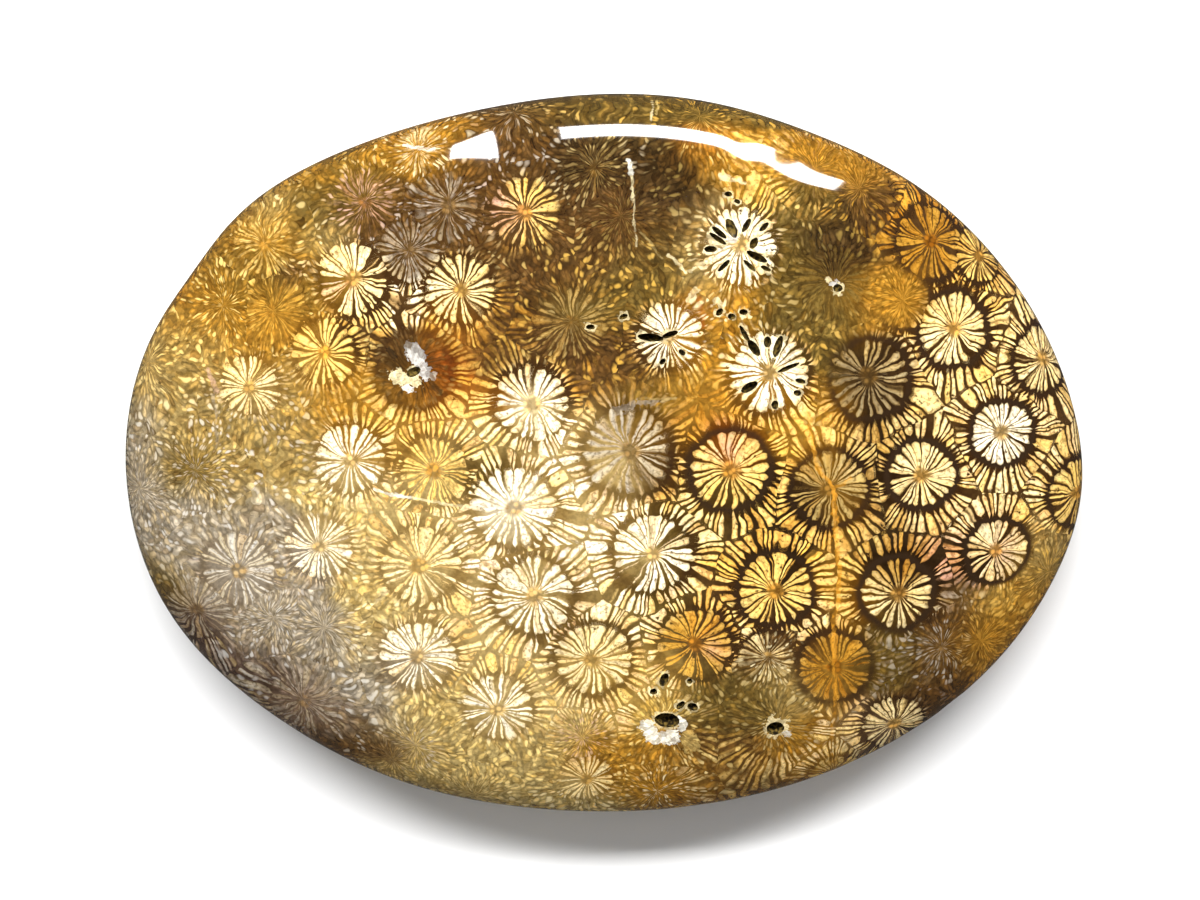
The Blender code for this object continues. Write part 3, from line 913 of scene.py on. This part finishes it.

# %% [markdown]
# ## Healed cracks, quartz and a painted reflection
#
# Cracks healed with white or amber silica, and white quartz lines the rim of every
# hole.  One pale streak at the left is no crack: it is a painted reflection, drawn
# like a crack.  A crack is thinner than a face of the mesh, so it isn't painted on
# points: every face stores how far it lies across and along its nearest mark.
# Across flat faces that offset runs evenly, so the finish can draw a line as thin
# as it likes.

# %% Marks
# from across, down, to across, down, half width in squares, colour, strength
MARKS = (
    (629, 160, 631, 172, 2.6, WHITE, 0.85), (631, 172, 632, 200, 1.2, CREAM, 0.60),
    (632, 200, 637, 246, 0.8, CREAM, 0.40), (640, 230, 662, 258, 0.9, KHAKI, 0.60),
    (668, 256, 686, 272, 1.6, CREAM, 0.70), (686, 272, 706, 262, 1.5, CREAM, 0.60),
    # the two rows from (209, 370) to (217, 445) are a painted reflection: a pale streak of light on the
    # polish, not a crack
    (209, 370, 216, 392, 2.4, BLUSH, 0.60), (214, 392, 217, 445, 1.4, DOVE, 0.35),
    (614, 411, 632, 404, 4.0, DOVE, 0.40), (636, 402, 656, 402, 3.2, DOVE, 0.40),
    (640, 399, 676, 400, 0.9, KHAKI, 0.60), (375, 490, 412, 498, 1.4, WHITE, 0.70),
    (412, 498, 476, 508, 1.2, CREAM, 0.60), (806, 408, 818, 468, 1.6, ORANGE, 0.40),
    (818, 468, 833, 489, 2.0, ORANGE, 0.50), (833, 489, 836, 534, 2.2, ORANGE, 0.54),
    (836, 534, 839, 588, 1.8, ORANGE, 0.50), (839, 588, 833, 640, 1.8, ORANGE, 0.47),
    (833, 640, 834, 700, 1.6, ORANGE, 0.43), (834, 700, 831, 738, 1.3, ORANGE, 0.32),
    (833, 489, 850, 478, 1.3, ORANGE, 0.36), (836, 534, 822, 548, 1.3, ORANGE, 0.32),
    (652, 94, 652, 118, 1.0, CREAM, 0.60), (657, 94, 657, 112, 0.9, STRAW, 0.50),
    (834, 284, 839, 287, 3.6, SILVER, 0.80), (828, 279, 831, 281, 2.0, CREAM, 0.60),
    (784, 731, 787, 734, 3.4, WHITE, 0.95), (733, 224, 733, 236, 6.5, SILVER, 0.80),
    (775, 725, 779, 726, 10.6, CREAM, 0.70), (688, 736, 691, 746, 7.5, STRAW, 0.40),
    (648, 726, 652, 734, 7.5, WHITE, 0.95), (655, 737, 673, 737, 7.5, WHITE, 0.95),
    (680, 719, 682, 727, 4.5, WHITE, 0.90), (414, 351, 424, 372, 8.0, SILVER, 0.95),
    (396, 376, 414, 380, 7.5, CREAM, 0.90), (406, 386, 410, 389, 4.5, WHITE, 0.85),
    (426, 372, 433, 377, 4.0, DOVE, 0.85), (408, 345, 412, 350, 3.0, DOVE, 0.80),
    (388, 350, 394, 356, 2.6, SOOT, 0.70), (432, 388, 440, 392, 2.4, SOOT, 0.60),
    (720, 175, 745, 182, 1.8, CREAM, 0.55), (402, 140, 420, 146, 1.6, WHITE, 0.70),
    (420, 146, 432, 146, 1.4, WHITE, 0.60), (700, 298, 704, 330, 2.2, RUST, 0.45),
    (704, 330, 712, 350, 2.0, UMBER, 0.60), (690, 300, 696, 290, 3.0, CREAM, 0.60),
    (718, 300, 722, 312, 3.0, CREAM, 0.60),
)
QUARTZ_RIM = 1.1
QUARTZ_STRENGTH = 0.70
print(len(MARKS), "marks and", len(HOLES), "quartz rims")


# %% Offset of every face from its nearest mark
def chart_marks():
    """Middle, direction, half length, half width, colour and strength of each mark."""
    rows = []
    for ax, ay, bx, by, half_width, colour, strength in MARKS:
        first, last = chart_place(ax, ay), chart_place(bx, by)
        reach = np.hypot(*(last - first))
        rows.append(((first + last) / 2, (last - first) / reach, reach / 2,
                     half_width / CHART_SQUARES * MM, colour, strength))
    for right, above, half_length, half_width, _, degrees in HOLES:
        turn = math.radians(degrees)
        rows.append((on_face(right, above), (math.cos(turn), math.sin(turn)),
                     (half_length - half_width) * MM,
                     half_width * MM + QUARTZ_RIM / CHART_SQUARES * MM, CREAM, QUARTZ_STRENGTH))
    return columns(rows)


middles, directions, half_spans, half_widths, colours, strengths = chart_marks()
sideways = np.column_stack((-directions[:, 1], directions[:, 0]))


def offset_to(places, which):
    """Across and along offset from marks to places."""
    local = places - middles[which]
    return (local * sideways[which]).sum(axis=-1), (local * directions[which]).sum(axis=-1)


across, along = offset_to(centres[:, None, :], np.arange(len(middles)))
past = np.maximum(np.abs(along) - half_spans, 0.0)
nearest = (np.hypot(across, past) - half_widths).argmin(axis=1)
mark_of = np.repeat(nearest, face_sizes)
across, along = offset_to(plan[corners], mark_of)
store("mark_place", "FLOAT_VECTOR", "CORNER",
      np.column_stack((across, along, half_spans[mark_of])) / MM)
store("mark_width", "FLOAT", "CORNER", half_widths[mark_of] / MM)
above_rim = smooth_step(GIRDLE_HEIGHT * 0.5, GIRDLE_HEIGHT, points[corners, 2])
store("mark_colour", "FLOAT_COLOR", "CORNER",
      with_strength(colours[mark_of], strengths[mark_of] * above_rim))
print("faces closest to a crack:", int((nearest < len(MARKS)).sum()), "of", len(nearest))

# %% [markdown]
# ## The finish: agatised coral under a polish
#
# A calice is a wheel of septa.  Round its grainy middle lie the pale petals with
# a dark line between each two.  Then comes the wall, which is a dark ring, and
# outside it shorter teeth run on to meet the neighbour's.  In cloudy agate all
# that dissolves into short streaks that still point at the middle.
#
# A turn about the middle is cut into equal cells, and each cell draws one septum.
# White noise gives every cell its own chances, and those set where its septum
# starts and ends, how thick it is and how pale.

# %% Helpers for the shader
def attribute(tree, name, output="Fac"):
    """What the mesh stored under a name."""
    return Wire(lay(tree, "ShaderNodeAttribute", {}, attribute_name=name).outputs[output])


def blend(share, first, second):
    """Mix two colours."""
    return wired(share.tree, "ShaderNodeMixRGB", {0: share, 1: first, 2: second})


def paint(colour):
    """A named colour as a socket value."""
    return (*pigment(colour), 1.0)


def grain(tree, place, fineness, detail=2.0, roughness=0.5, output="Fac"):
    """Noise of a given fineness, in lumps to the unit of place."""
    node = lay(tree, "ShaderNodeTexNoise", {
        "Vector": place, "Scale": fineness, "Detail": detail, "Roughness": roughness})
    return Wire(node.outputs[output])


def cells(tree, place, fineness, feature="F1"):
    """The outputs of a Voronoi node: distances and chance colours."""
    feeds = {"Vector": place, "Scale": fineness}
    return lay(tree, "ShaderNodeTexVoronoi", feeds, feature=feature).outputs


def ramp(value, colours):
    """A colour taken from an even row of colours."""
    node = lay(value.tree, "ShaderNodeValToRGB", {0: value})
    stops = node.color_ramp.elements
    while len(stops) < len(colours):
        stops.new(0.5)
    for index, colour in enumerate(colours):
        stops[index].position = index / (len(colours) - 1)
        stops[index].color = (*colour, 1.0)
    return Wire(node.outputs[0])


def pick(choice, first, second):
    """First where choice is 0, second where it is 1."""
    return first + (second - first) * choice


def vary(chance, limits):
    """A value between two limits."""
    low, high = limits
    return chance * (high - low) + low


print("vary takes a chance of 0 to 1 to anywhere between", vary(0.0, (2.0, 5.0)),
      "and", vary(1.0, (2.0, 5.0)))

# %% One septum
# thickness is in cells, from the middle of the septum to its side
SEPTUM_SIDE = (-0.06, 0.05)
SEPTUM_EDGE = (-0.26, -0.02)
POINT_TAPER = 0.5
BLUNT_TAPER = 0.6
CHANCE_SEED = 91.0


def spokes(tree, angle, count, seed):
    """Cut a turn into cells: how far off the cell's middle, its side, three chances."""
    turns = angle * count
    cell = turns.node("FLOOR")
    off = turns - cell - 0.5
    side = cell.node("MODULO", 2.0) * 2 - 1
    same_cell = cell.node("FLOORED_MODULO", count)
    chance = lay(tree, "ShaderNodeTexWhiteNoise",
                 {"Vector": join(tree, same_cell, seed * CHANCE_SEED, count)},
                 noise_dimensions="3D")
    return off, side, split(Wire(chance.outputs["Color"]))


def blade(off, opened, closed, thickness):
    """A septum and its bright core: one end tapers to a point, the other is blunt."""
    off = off + (1 - opened) * POINT_TAPER + (1 - closed) ** 2 * BLUNT_TAPER
    whole, core = (1 - off.rise(thickness + inner, thickness + outer)
                   for inner, outer in (SEPTUM_SIDE, SEPTUM_EDGE))
    return whole, core


print("a septum's side is soft over", round(SEPTUM_SIDE[1] - SEPTUM_SIDE[0], 2), "of a cell")

# %% Petals and teeth
# places are in calice radii from the middle, or from the border for a tooth's tip
PETAL_COUNT = 22.0
PETAL_ROOT = (-0.04, 0.26)
PETAL_TIP = (0.80, 0.94)
EVEN_TIPS = 0.10                # dark walls cut the petals to one length
PETAL_TAPER = 0.18
PETAL_THICKNESS = (0.175, 0.305)
PETAL_CLEAR = 0.16              # thicker in clear agate
PETAL_WALLED = 0.03             # and inside a dark wall
THIN_PETALS = (0.06, 0.08)      # the few cells whose petal is a thread
THREAD = 0.2
PAIR_GAP = 0.07                 # petals stand in pairs, this far off their cells
TEETH_COUNT = 46.0
TOOTH_ROOT = (0.78, 0.98)
WALL_PUSH = 0.12                # dark walls push the teeth out
TOOTH_TAPER = 0.28
TOOTH_TIP = (-0.18, 0.10)
TIP_TAPER = 0.16
TOOTH_THICKNESS = (0.21, 0.27)
TOOTH_CLEAR = 0.09


def petals_at(tree, angle, seed, distance, clear, wall_dark):
    """Petals, their cores and the chance that tints each."""
    count = (seed * 3.0).node("FLOOR") * 2 + PETAL_COUNT
    off, side, (chance_a, chance_b, chance_c) = spokes(tree, angle, count, seed)
    off = off.size().most(off * side + PAIR_GAP)
    root = vary(chance_a * chance_a, PETAL_ROOT)
    tip = vary(chance_b, PETAL_TIP) - chance_b * wall_dark * EVEN_TIPS
    thickness = vary(chance_b, PETAL_THICKNESS) + clear * PETAL_CLEAR + wall_dark * PETAL_WALLED
    thickness = thickness - (1 - chance_c.rise(*THIN_PETALS)) * THREAD
    petal, core = blade(off, distance.rise(root, root + PETAL_TAPER),
                        1 - distance.rise(tip, tip + PETAL_TAPER), thickness)
    return petal, core, chance_c


def teeth_at(tree, angle, seed, distance, border, clear, wall_dark):
    """Teeth, their cores and the chance that tints each."""
    off, _, (chance_a, chance_b, chance_c) = spokes(tree, angle, TEETH_COUNT, seed)
    root = vary(chance_a, TOOTH_ROOT) + wall_dark * WALL_PUSH
    tip = vary(chance_b, TOOTH_TIP)
    thickness = vary(chance_a, TOOTH_THICKNESS) + clear * TOOTH_CLEAR
    tooth, core = blade(off.size(), distance.rise(root, root + TOOTH_TAPER),
                        border.rise(tip, tip + TIP_TAPER), thickness)
    return tooth, core, chance_c


print("a calice has", [int(PETAL_COUNT) + step for step in (0, 2, 4)], "petals and",
      int(TEETH_COUNT), "teeth")

# %% The wheel: petals, wall, teeth and flecks
WALL_INSIDE = (0.84, 0.98)
WALL_OUTSIDE = (1.01, 1.17)
WANDER = 0.34                   # how far noise pushes the wheel out of round
BEND = 0.10                     # how far the spokes bend, in turns
BEND_GRAIN, BEND_SEED = 2.4, 40.0
FLECKS_ROUND, FLECKS_OUT, FLECK_SEED = 11.0, 3.8, 60.0
FLECK_WANDER = 2.6
FLECK_CELLS, CRACK_CELLS, STREAK_GRAIN = 1.0, 0.9, 1.1


def coral_wheel(tree, wander, clear, wall_dark):
    """Masks of the pattern at each point of the stone."""
    push = vectors("SCALE", vectors("SUBTRACT", wander, (0.5, 0.5, 0.5)), WANDER)
    push_x, push_y, _ = split(push)
    tubes_here = []
    for name in ("near_tube", "next_tube"):
        x, y, seed = split(attribute(tree, name, "Vector"))
        x = x + push_x
        y = y + push_y
        tubes_here.append((x, y, seed, (x * x + y * y).node("SQRT")))
    first, second = tubes_here
    swapped = first[3].node("GREATER_THAN", second[3])
    x, y, seed, distance = [pick(swapped, a, b) for a, b in zip(first, second)]
    border = (first[3] - second[3]).size()
    round_x = x / distance
    round_y = y / distance
    bend = grain(tree, join(tree, round_x, round_y, seed * BEND_SEED), BEND_GRAIN, 1.0)
    angle = y.node("ARCTAN2", x) / (2 * math.pi) + bend * BEND

    petal, petal_core, petal_chance = petals_at(tree, angle, seed, distance, clear, wall_dark)
    tooth, tooth_core, tooth_chance = teeth_at(tree, angle, seed, distance, border,
                                               clear, wall_dark)
    around = join(tree, round_x * FLECKS_ROUND, round_y * FLECKS_ROUND,
                  distance * FLECKS_OUT + seed * FLECK_SEED)
    around = vectors("ADD", around, vectors("SCALE", wander, FLECK_WANDER))
    flecks = cells(tree, around, FLECK_CELLS)
    cracks = cells(tree, around, CRACK_CELLS, "DISTANCE_TO_EDGE")
    return {
        "distance": distance,
        "petal": petal,
        "tooth": tooth,
        "core": petal_core.most(tooth_core),
        "petal_chance": petal_chance,
        "tooth_chance": tooth_chance,
        "wall": distance.rise(*WALL_INSIDE) * (1 - distance.rise(*WALL_OUTSIDE)),
        "streaks": grain(tree, around, STREAK_GRAIN),
        "fleck": split(Wire(flecks["Color"])),
        "fleck_edge": Wire(flecks["Distance"]),
        "crack": Wire(cracks["Distance"]),
    }


print("the wall is a ring from", WALL_INSIDE[0], "to", WALL_OUTSIDE[1], "calice radii")

# %% Tints
PETAL_TINTS = ((0.72, 0.56, 0.35), (1.0, 0.98, 0.94), (0.98, 0.88, 0.66), (0.74, 0.69, 0.63),
               (1.0, 1.0, 1.0), (0.86, 0.67, 0.42))
TOOTH_TINTS = ((1.0, 0.98, 0.94), (0.80, 0.61, 0.36), (0.95, 0.80, 0.72), (1.0, 1.0, 1.0),
               (0.98, 0.79, 0.42), (0.60, 0.44, 0.26))
FLECK_TINTS = ((0.50, 0.40, 0.27), (0.84, 0.80, 0.73), (0.94, 0.81, 0.56), (0.64, 0.58, 0.48),
               (1.0, 0.97, 0.90))
GAP_TINT = (0.34, 0.26, 0.16)
MIDDLE_TINT = (0.86, 0.62, 0.30)
EDGE_TINT = (0.86, 0.77, 0.60)


def tinted(colour, tint):
    """A colour seen through a tint."""
    return vectors("MULTIPLY", colour, tint)


def lit(colour, amount):
    """A colour made lighter or darker."""
    return vectors("SCALE", colour, amount)


print(len(PETAL_TINTS), "tints for petals,", len(TOOTH_TINTS), "for teeth,",
      len(FLECK_TINTS), "for flecks")

# %% [markdown]
# Between the septa the agate is calm and darker, and deepest beside a wall.  Where
# the coral has dissolved, the agate breaks up into flecks instead, and some of
# them stay as pale as a septum.

# %% Agate between the septa
FLECK_EDGE = (0.24, 0.58)
FLECK_LIGHT = (0.85, 1.55)
FLECK_STROKE = (0.80, 1.30)
FLECK_SHADE = 0.5
CALM_STROKE = (0.70, 1.00)
PALE_FLECKS, PALE_SHARE = (0.62, 0.80), 0.7
NEAR_WALL, WALL_MIDDLE = (0.10, 0.40), 1.05
GAP_DEPTH = 0.48
GAP_BY_DARK_WALL, GAP_BY_WALL, GAP_BY_CLEAR = 0.25, 0.25, 0.20
GAP_FROM = (0.06, 0.40)


def cloudy_agate(wheel, ground, septa, stroke):
    """Agate in flecks, some of them pale, where the coral has all but dissolved."""
    light, hue, chance = wheel["fleck"]
    edge = wheel["fleck_edge"].rise(*FLECK_EDGE)
    brightness = vary(light, FLECK_LIGHT) * vary(stroke, FLECK_STROKE)
    flecks = lit(ramp(hue, FLECK_TINTS), brightness * (1 - edge * FLECK_SHADE))
    pale = chance.rise(*PALE_FLECKS) * (1 - edge) * PALE_SHARE
    return blend(pale, tinted(ground, flecks), septa)


def gaps(wheel, ground, stroke, mark, clear, wall_dark):
    """The darker agate between two septa."""
    calm = lit(ground, vary(stroke, CALM_STROKE))
    near_wall = 1 - (wheel["distance"] - WALL_MIDDLE).size().rise(*NEAR_WALL)
    depth = (wall_dark * GAP_BY_DARK_WALL + near_wall * GAP_BY_WALL + clear * GAP_BY_CLEAR
             + GAP_DEPTH)
    gap = (1 - mark) * depth * wheel["distance"].rise(*GAP_FROM)
    return blend(gap, calm, tinted(calm, GAP_TINT))


print("away from the walls, in cloudy agate, a gap takes", GAP_DEPTH, "of its tint")

# %% Septa and the stalk in the middle
BLADE_STROKE = (0.80, 1.14)
CRACK_WIDTH, CRACKED_FLECKS = (0.03, 0.13), (0.35, 0.65)
PIT_SPECKS = (0.37, 0.44)
CRACK_DEPTH = 0.6
GOLDEN_MIDDLE = (0.05, 0.36)
STALK_EDGE, STALK_SHARE = (0.14, 0.27), 0.8
LUMP_EDGE, LUMP_SHADE, LUMP_LIGHT = (0.25, 0.60), 0.7, (0.80, 1.30)


def septa_colour(wheel, septa, stroke, speckle):
    """Petals and teeth, each with its own tint, a darker edge and fine cracks."""
    chance = wheel["fleck"][2]
    tint = blend(wheel["petal"], ramp(wheel["tooth_chance"], TOOTH_TINTS),
                 ramp(wheel["petal_chance"], PETAL_TINTS))
    crack = (1 - wheel["crack"].rise(*CRACK_WIDTH)) * chance.rise(*CRACKED_FLECKS)
    crack = crack.most(1 - speckle.rise(*PIT_SPECKS)) * CRACK_DEPTH
    colour = lit(tinted(septa, tint), vary(stroke, BLADE_STROKE))
    colour = blend(wheel["core"], tinted(colour, EDGE_TINT), colour)
    colour = blend(crack, colour, tinted(colour, GAP_TINT))
    middle = (1 - wheel["distance"].rise(*GOLDEN_MIDDLE)) * (1 - stroke * 0.5)
    return blend(middle, colour, tinted(colour, MIDDLE_TINT))


def stalk_over(colour, wheel, septa, lumps):
    """The grainy stalk that fills the middle of a calice."""
    light, hue, _ = split(Wire(lumps["Color"]))
    edge = Wire(lumps["Distance"]).rise(*LUMP_EDGE)
    stalk = tinted(tinted(septa, MIDDLE_TINT), ramp(hue, FLECK_TINTS))
    stalk = lit(stalk, (1 - edge * LUMP_SHADE) * vary(light, LUMP_LIGHT))
    return blend((1 - wheel["distance"].rise(*STALK_EDGE)) * STALK_SHARE, colour, stalk)


print("the stalk is", STALK_EDGE[1], "of a calice wide")

# %% [markdown]
# Over the coral lie the silica in its cracks and round its holes, one painted
# reflection streak, painted shade inside the holes and the pale bloom on the
# chips.  When all the layers are in place, a low roughness makes the polish.

# %% Silica in the cracks and round the holes, a painted reflection, painted shade in the holes, and chips
CRACK_SWAY = 0.60               # millimetres
RAGGED_SILICA, RAGGED_LINE = 1.5, 0.20
SILICA_SIDE = (-0.03, 0.05)
SPARKLE, SPARKLE_LIGHT = (0.20, 0.50), (0.55, 1.00)
HOLE_SHADE_SPECKS = (0.44, 0.62)


def silica_and_painted_streak_over(tree, colour, stroke, speckle, drift, lump_light):
    """Healed cracks, the quartz round the holes, and one painted reflection streak."""
    across, along, half_span = split(attribute(tree, "mark_place", "Vector"))
    width = attribute(tree, "mark_width")
    past = (along.size() - half_span).most(0.0)
    across = across + (drift - 0.5) * CRACK_SWAY
    away = (across * across + past * past).node("SQRT")
    away = away + (speckle - 0.5) * (width * RAGGED_SILICA + RAGGED_LINE)
    inner, outer = SILICA_SIDE
    drawn = 1 - away.rise(width + inner, width + outer)
    drawn = drawn * attribute(tree, "mark_colour", "Alpha") * vary(stroke, (0.5, 1.0))
    sparkle = vary(lump_light.rise(*SPARKLE), SPARKLE_LIGHT)
    return blend(drawn, colour, lit(attribute(tree, "mark_colour", "Color"), sparkle))


def cuts_over(colour, cut, stroke, speckle):
    """Painted shade in the holes, and a pale bloom on the chips."""
    in_hole = cut.rise(0.4, 0.9) * (1 - cut.rise(1.2, 1.6))
    on_chip = cut.rise(1.3, 1.8)
    # painted shade: the inside of every hole is painted near black, darker than its own shadow makes it
    hole_shade = blend(speckle.rise(*HOLE_SHADE_SPECKS), paint(SOOT), paint(OLIVE))
    return blend(on_chip * stroke * 0.5, blend(in_hole, colour, hole_shade), paint(CREAM))


print("cracks sway by up to", CRACK_SWAY / 2, "mm")

# %% The whole finish
WANDER_GRAIN, WANDER_DETAIL, WANDER_ROUGHNESS = 0.55 / MM, 3.0, 0.42
SPECKLE_GRAIN = 4.0 / MM
DRIFT_GRAIN = 0.9 / MM
LUMP_GRAIN = 2.6 / MM
SEEN, DRIFT_SHARE = (0.26, 0.60), 0.5
RAGGED = (0.34, 0.40)
STROKE = (0.38, 0.62)
PETAL_SPARED, WALLED_LESS, TOOTH_SPARED = 0.85, 0.35, 0.8
POLISH, CUT_ROUGHNESS = 0.06, 0.51
AGATE_IOR = 1.54


def finish_of(material):
    """Wire up the stone's finish."""
    material.use_nodes = True
    tree = material.node_tree
    tree.nodes.clear()
    place = Wire(lay(tree, "ShaderNodeTexCoord", {}).outputs["Object"])
    wander = grain(tree, place, WANDER_GRAIN, WANDER_DETAIL, WANDER_ROUGHNESS, "Color")
    clear = attribute(tree, "clearness")
    wall_dark = attribute(tree, "wall_darkness")
    ground = attribute(tree, "ground_colour", "Color")
    septa = attribute(tree, "septa_colour", "Color")
    cut = attribute(tree, "cut")
    speckle = grain(tree, place, SPECKLE_GRAIN)
    drift = grain(tree, place, DRIFT_GRAIN)
    lumps = cells(tree, place, LUMP_GRAIN)

    wheel = coral_wheel(tree, wander, clear, wall_dark)
    seen = (clear + (drift - 0.5) * DRIFT_SHARE).rise(*SEEN)
    rough = wheel["streaks"] * 0.5 + speckle * 0.5
    stroke = rough.rise(*STROKE)
    mark = wheel["petal"].most(wheel["tooth"]) * pick(seen, 1.0, rough.rise(*RAGGED))

    between = gaps(wheel, ground, stroke, mark, clear, wall_dark)
    shown = blend(mark, between, septa_colour(wheel, septa, stroke, speckle))
    shown = stalk_over(shown, wheel, septa, lumps)
    colour = blend(seen, cloudy_agate(wheel, ground, septa, stroke), shown)
    spared = (wheel["petal"] * (PETAL_SPARED - wall_dark * WALLED_LESS)).most(
        wheel["tooth"] * TOOTH_SPARED)
    colour = blend(wheel["wall"] * wall_dark * (1 - spared) * seen, colour, paint(PEAT))
    lump_light = split(Wire(lumps["Color"]))[0]
    colour = silica_and_painted_streak_over(tree, colour, stroke, speckle, drift, lump_light)
    colour = cuts_over(colour, cut, stroke, speckle)

    roughness = vary(cut.rise(0.1, 0.9), (POLISH, CUT_ROUGHNESS))
    shader = wired(tree, "ShaderNodeBsdfPrincipled",
                   {"Base Color": colour, "Roughness": roughness, "IOR": AGATE_IOR})
    lay(tree, "ShaderNodeOutputMaterial", {"Surface": shader})


finish_of(finish)
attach(stone, "root")
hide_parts("coral_head")
print("the finish has", len(finish.node_tree.nodes), "nodes")

# %% [markdown]
# ## Floor, light and eye
#
# The stone lies on a plain pale floor.  A wide light behind it, high up, throws
# the soft shadow forward, and a large weak one overhead fills that shadow in.
# Neither shows in the polish.  A long strip, low behind the stone, does nothing
# else: it makes the bright band on the far shoulder.

# %% Floor
FLOOR_SIZE = 3.0
FLOOR_PAINT = 0.88
FLOOR_ROUGHNESS = 0.8

floor_paint = bpy.data.materials.new("pale_floor")
floor_paint.use_nodes = True
matt = floor_paint.node_tree.nodes["Principled BSDF"]
matt.inputs["Base Color"].default_value = (FLOOR_PAINT, FLOOR_PAINT, FLOOR_PAINT, 1.0)
matt.inputs["Roughness"].default_value = FLOOR_ROUGHNESS

half = FLOOR_SIZE / 2
floor_mesh = bpy.data.meshes.new("floor")
floor_mesh.from_pydata([(-half, -half, 0), (half, -half, 0), (half, half, 0), (-half, half, 0)],
                       [], [(0, 1, 2, 3)])
floor_mesh.materials.append(floor_paint)
floor = bpy.data.objects.new("floor", floor_mesh)
bpy.context.scene.collection.objects.link(floor)
floor.visible_glossy = False
print("the floor is", FLOOR_SIZE, "m wide")


# %% Lights
def soft_light(name, place, size, power, in_polish, on_matt=True):
    """An area light that looks at the stone."""
    lamp = bpy.data.lights.new(name, "AREA")
    lamp.shape = "RECTANGLE"
    lamp.size, lamp.size_y = size
    lamp.energy = power
    thing = bpy.data.objects.new(name, lamp)
    thing.location = place
    aim = Vector((0.0, 0.0, SIGHT_HEIGHT)) - Vector(place)
    thing.rotation_euler = aim.to_track_quat("-Z", "Y").to_euler()
    thing.visible_glossy = in_polish
    thing.visible_diffuse = on_matt
    bpy.context.scene.collection.objects.link(thing)


soft_light("key", place=(-0.03, 0.50, 0.72), size=(0.90, 0.17), power=18.5, in_polish=False)
soft_light("fill", place=(0.0, 0.0, 0.95), size=(1.5, 1.5), power=4.0, in_polish=False)
soft_light("far_strip", place=(0.1125, 0.80, 0.12), size=(0.565, 0.20), power=11.0,
           in_polish=True, on_matt=False)

ROOM_LIGHT = 0.06
world = bpy.data.worlds.new("studio")
world.use_nodes = True
room = world.node_tree.nodes["Background"].inputs
room["Color"].default_value = (1.0, 1.0, 1.0, 1.0)
room["Strength"].default_value = ROOM_LIGHT
bpy.context.scene.world = world
bpy.context.scene.view_settings.view_transform = "Standard"
print(len(bpy.data.lights), "lights")

# %% Eye
EYE_LENS = 135.0
SENSOR = 36.0
FRAME_WIDTH = 1200.0
FRAME_SHIFT = (-4.0, 7.5)

eye = bpy.data.cameras.new("eye")
eye.lens = EYE_LENS
eye.sensor_width = SENSOR
eye.shift_x, eye.shift_y = (shift / FRAME_WIDTH for shift in FRAME_SHIFT)
eye_thing = bpy.data.objects.new("eye", eye)
aim = Vector((0.0, 0.0, SIGHT_HEIGHT))
towards = Vector((0.0, math.sin(SIGHT_LEAN), math.cos(SIGHT_LEAN)))
upward = Vector((0.0, math.cos(SIGHT_LEAN), -math.sin(SIGHT_LEAN)))
rightward = upward.cross(towards)
eye_thing.location = aim + towards * SIGHT_DISTANCE
eye_thing.rotation_euler = Matrix(tuple(zip(rightward, upward, towards))).to_euler()
bpy.context.scene.collection.objects.link(eye_thing)
bpy.context.scene.camera = eye_thing
print("the eye is", round(eye_thing.location.z / MM), "mm above the floor")
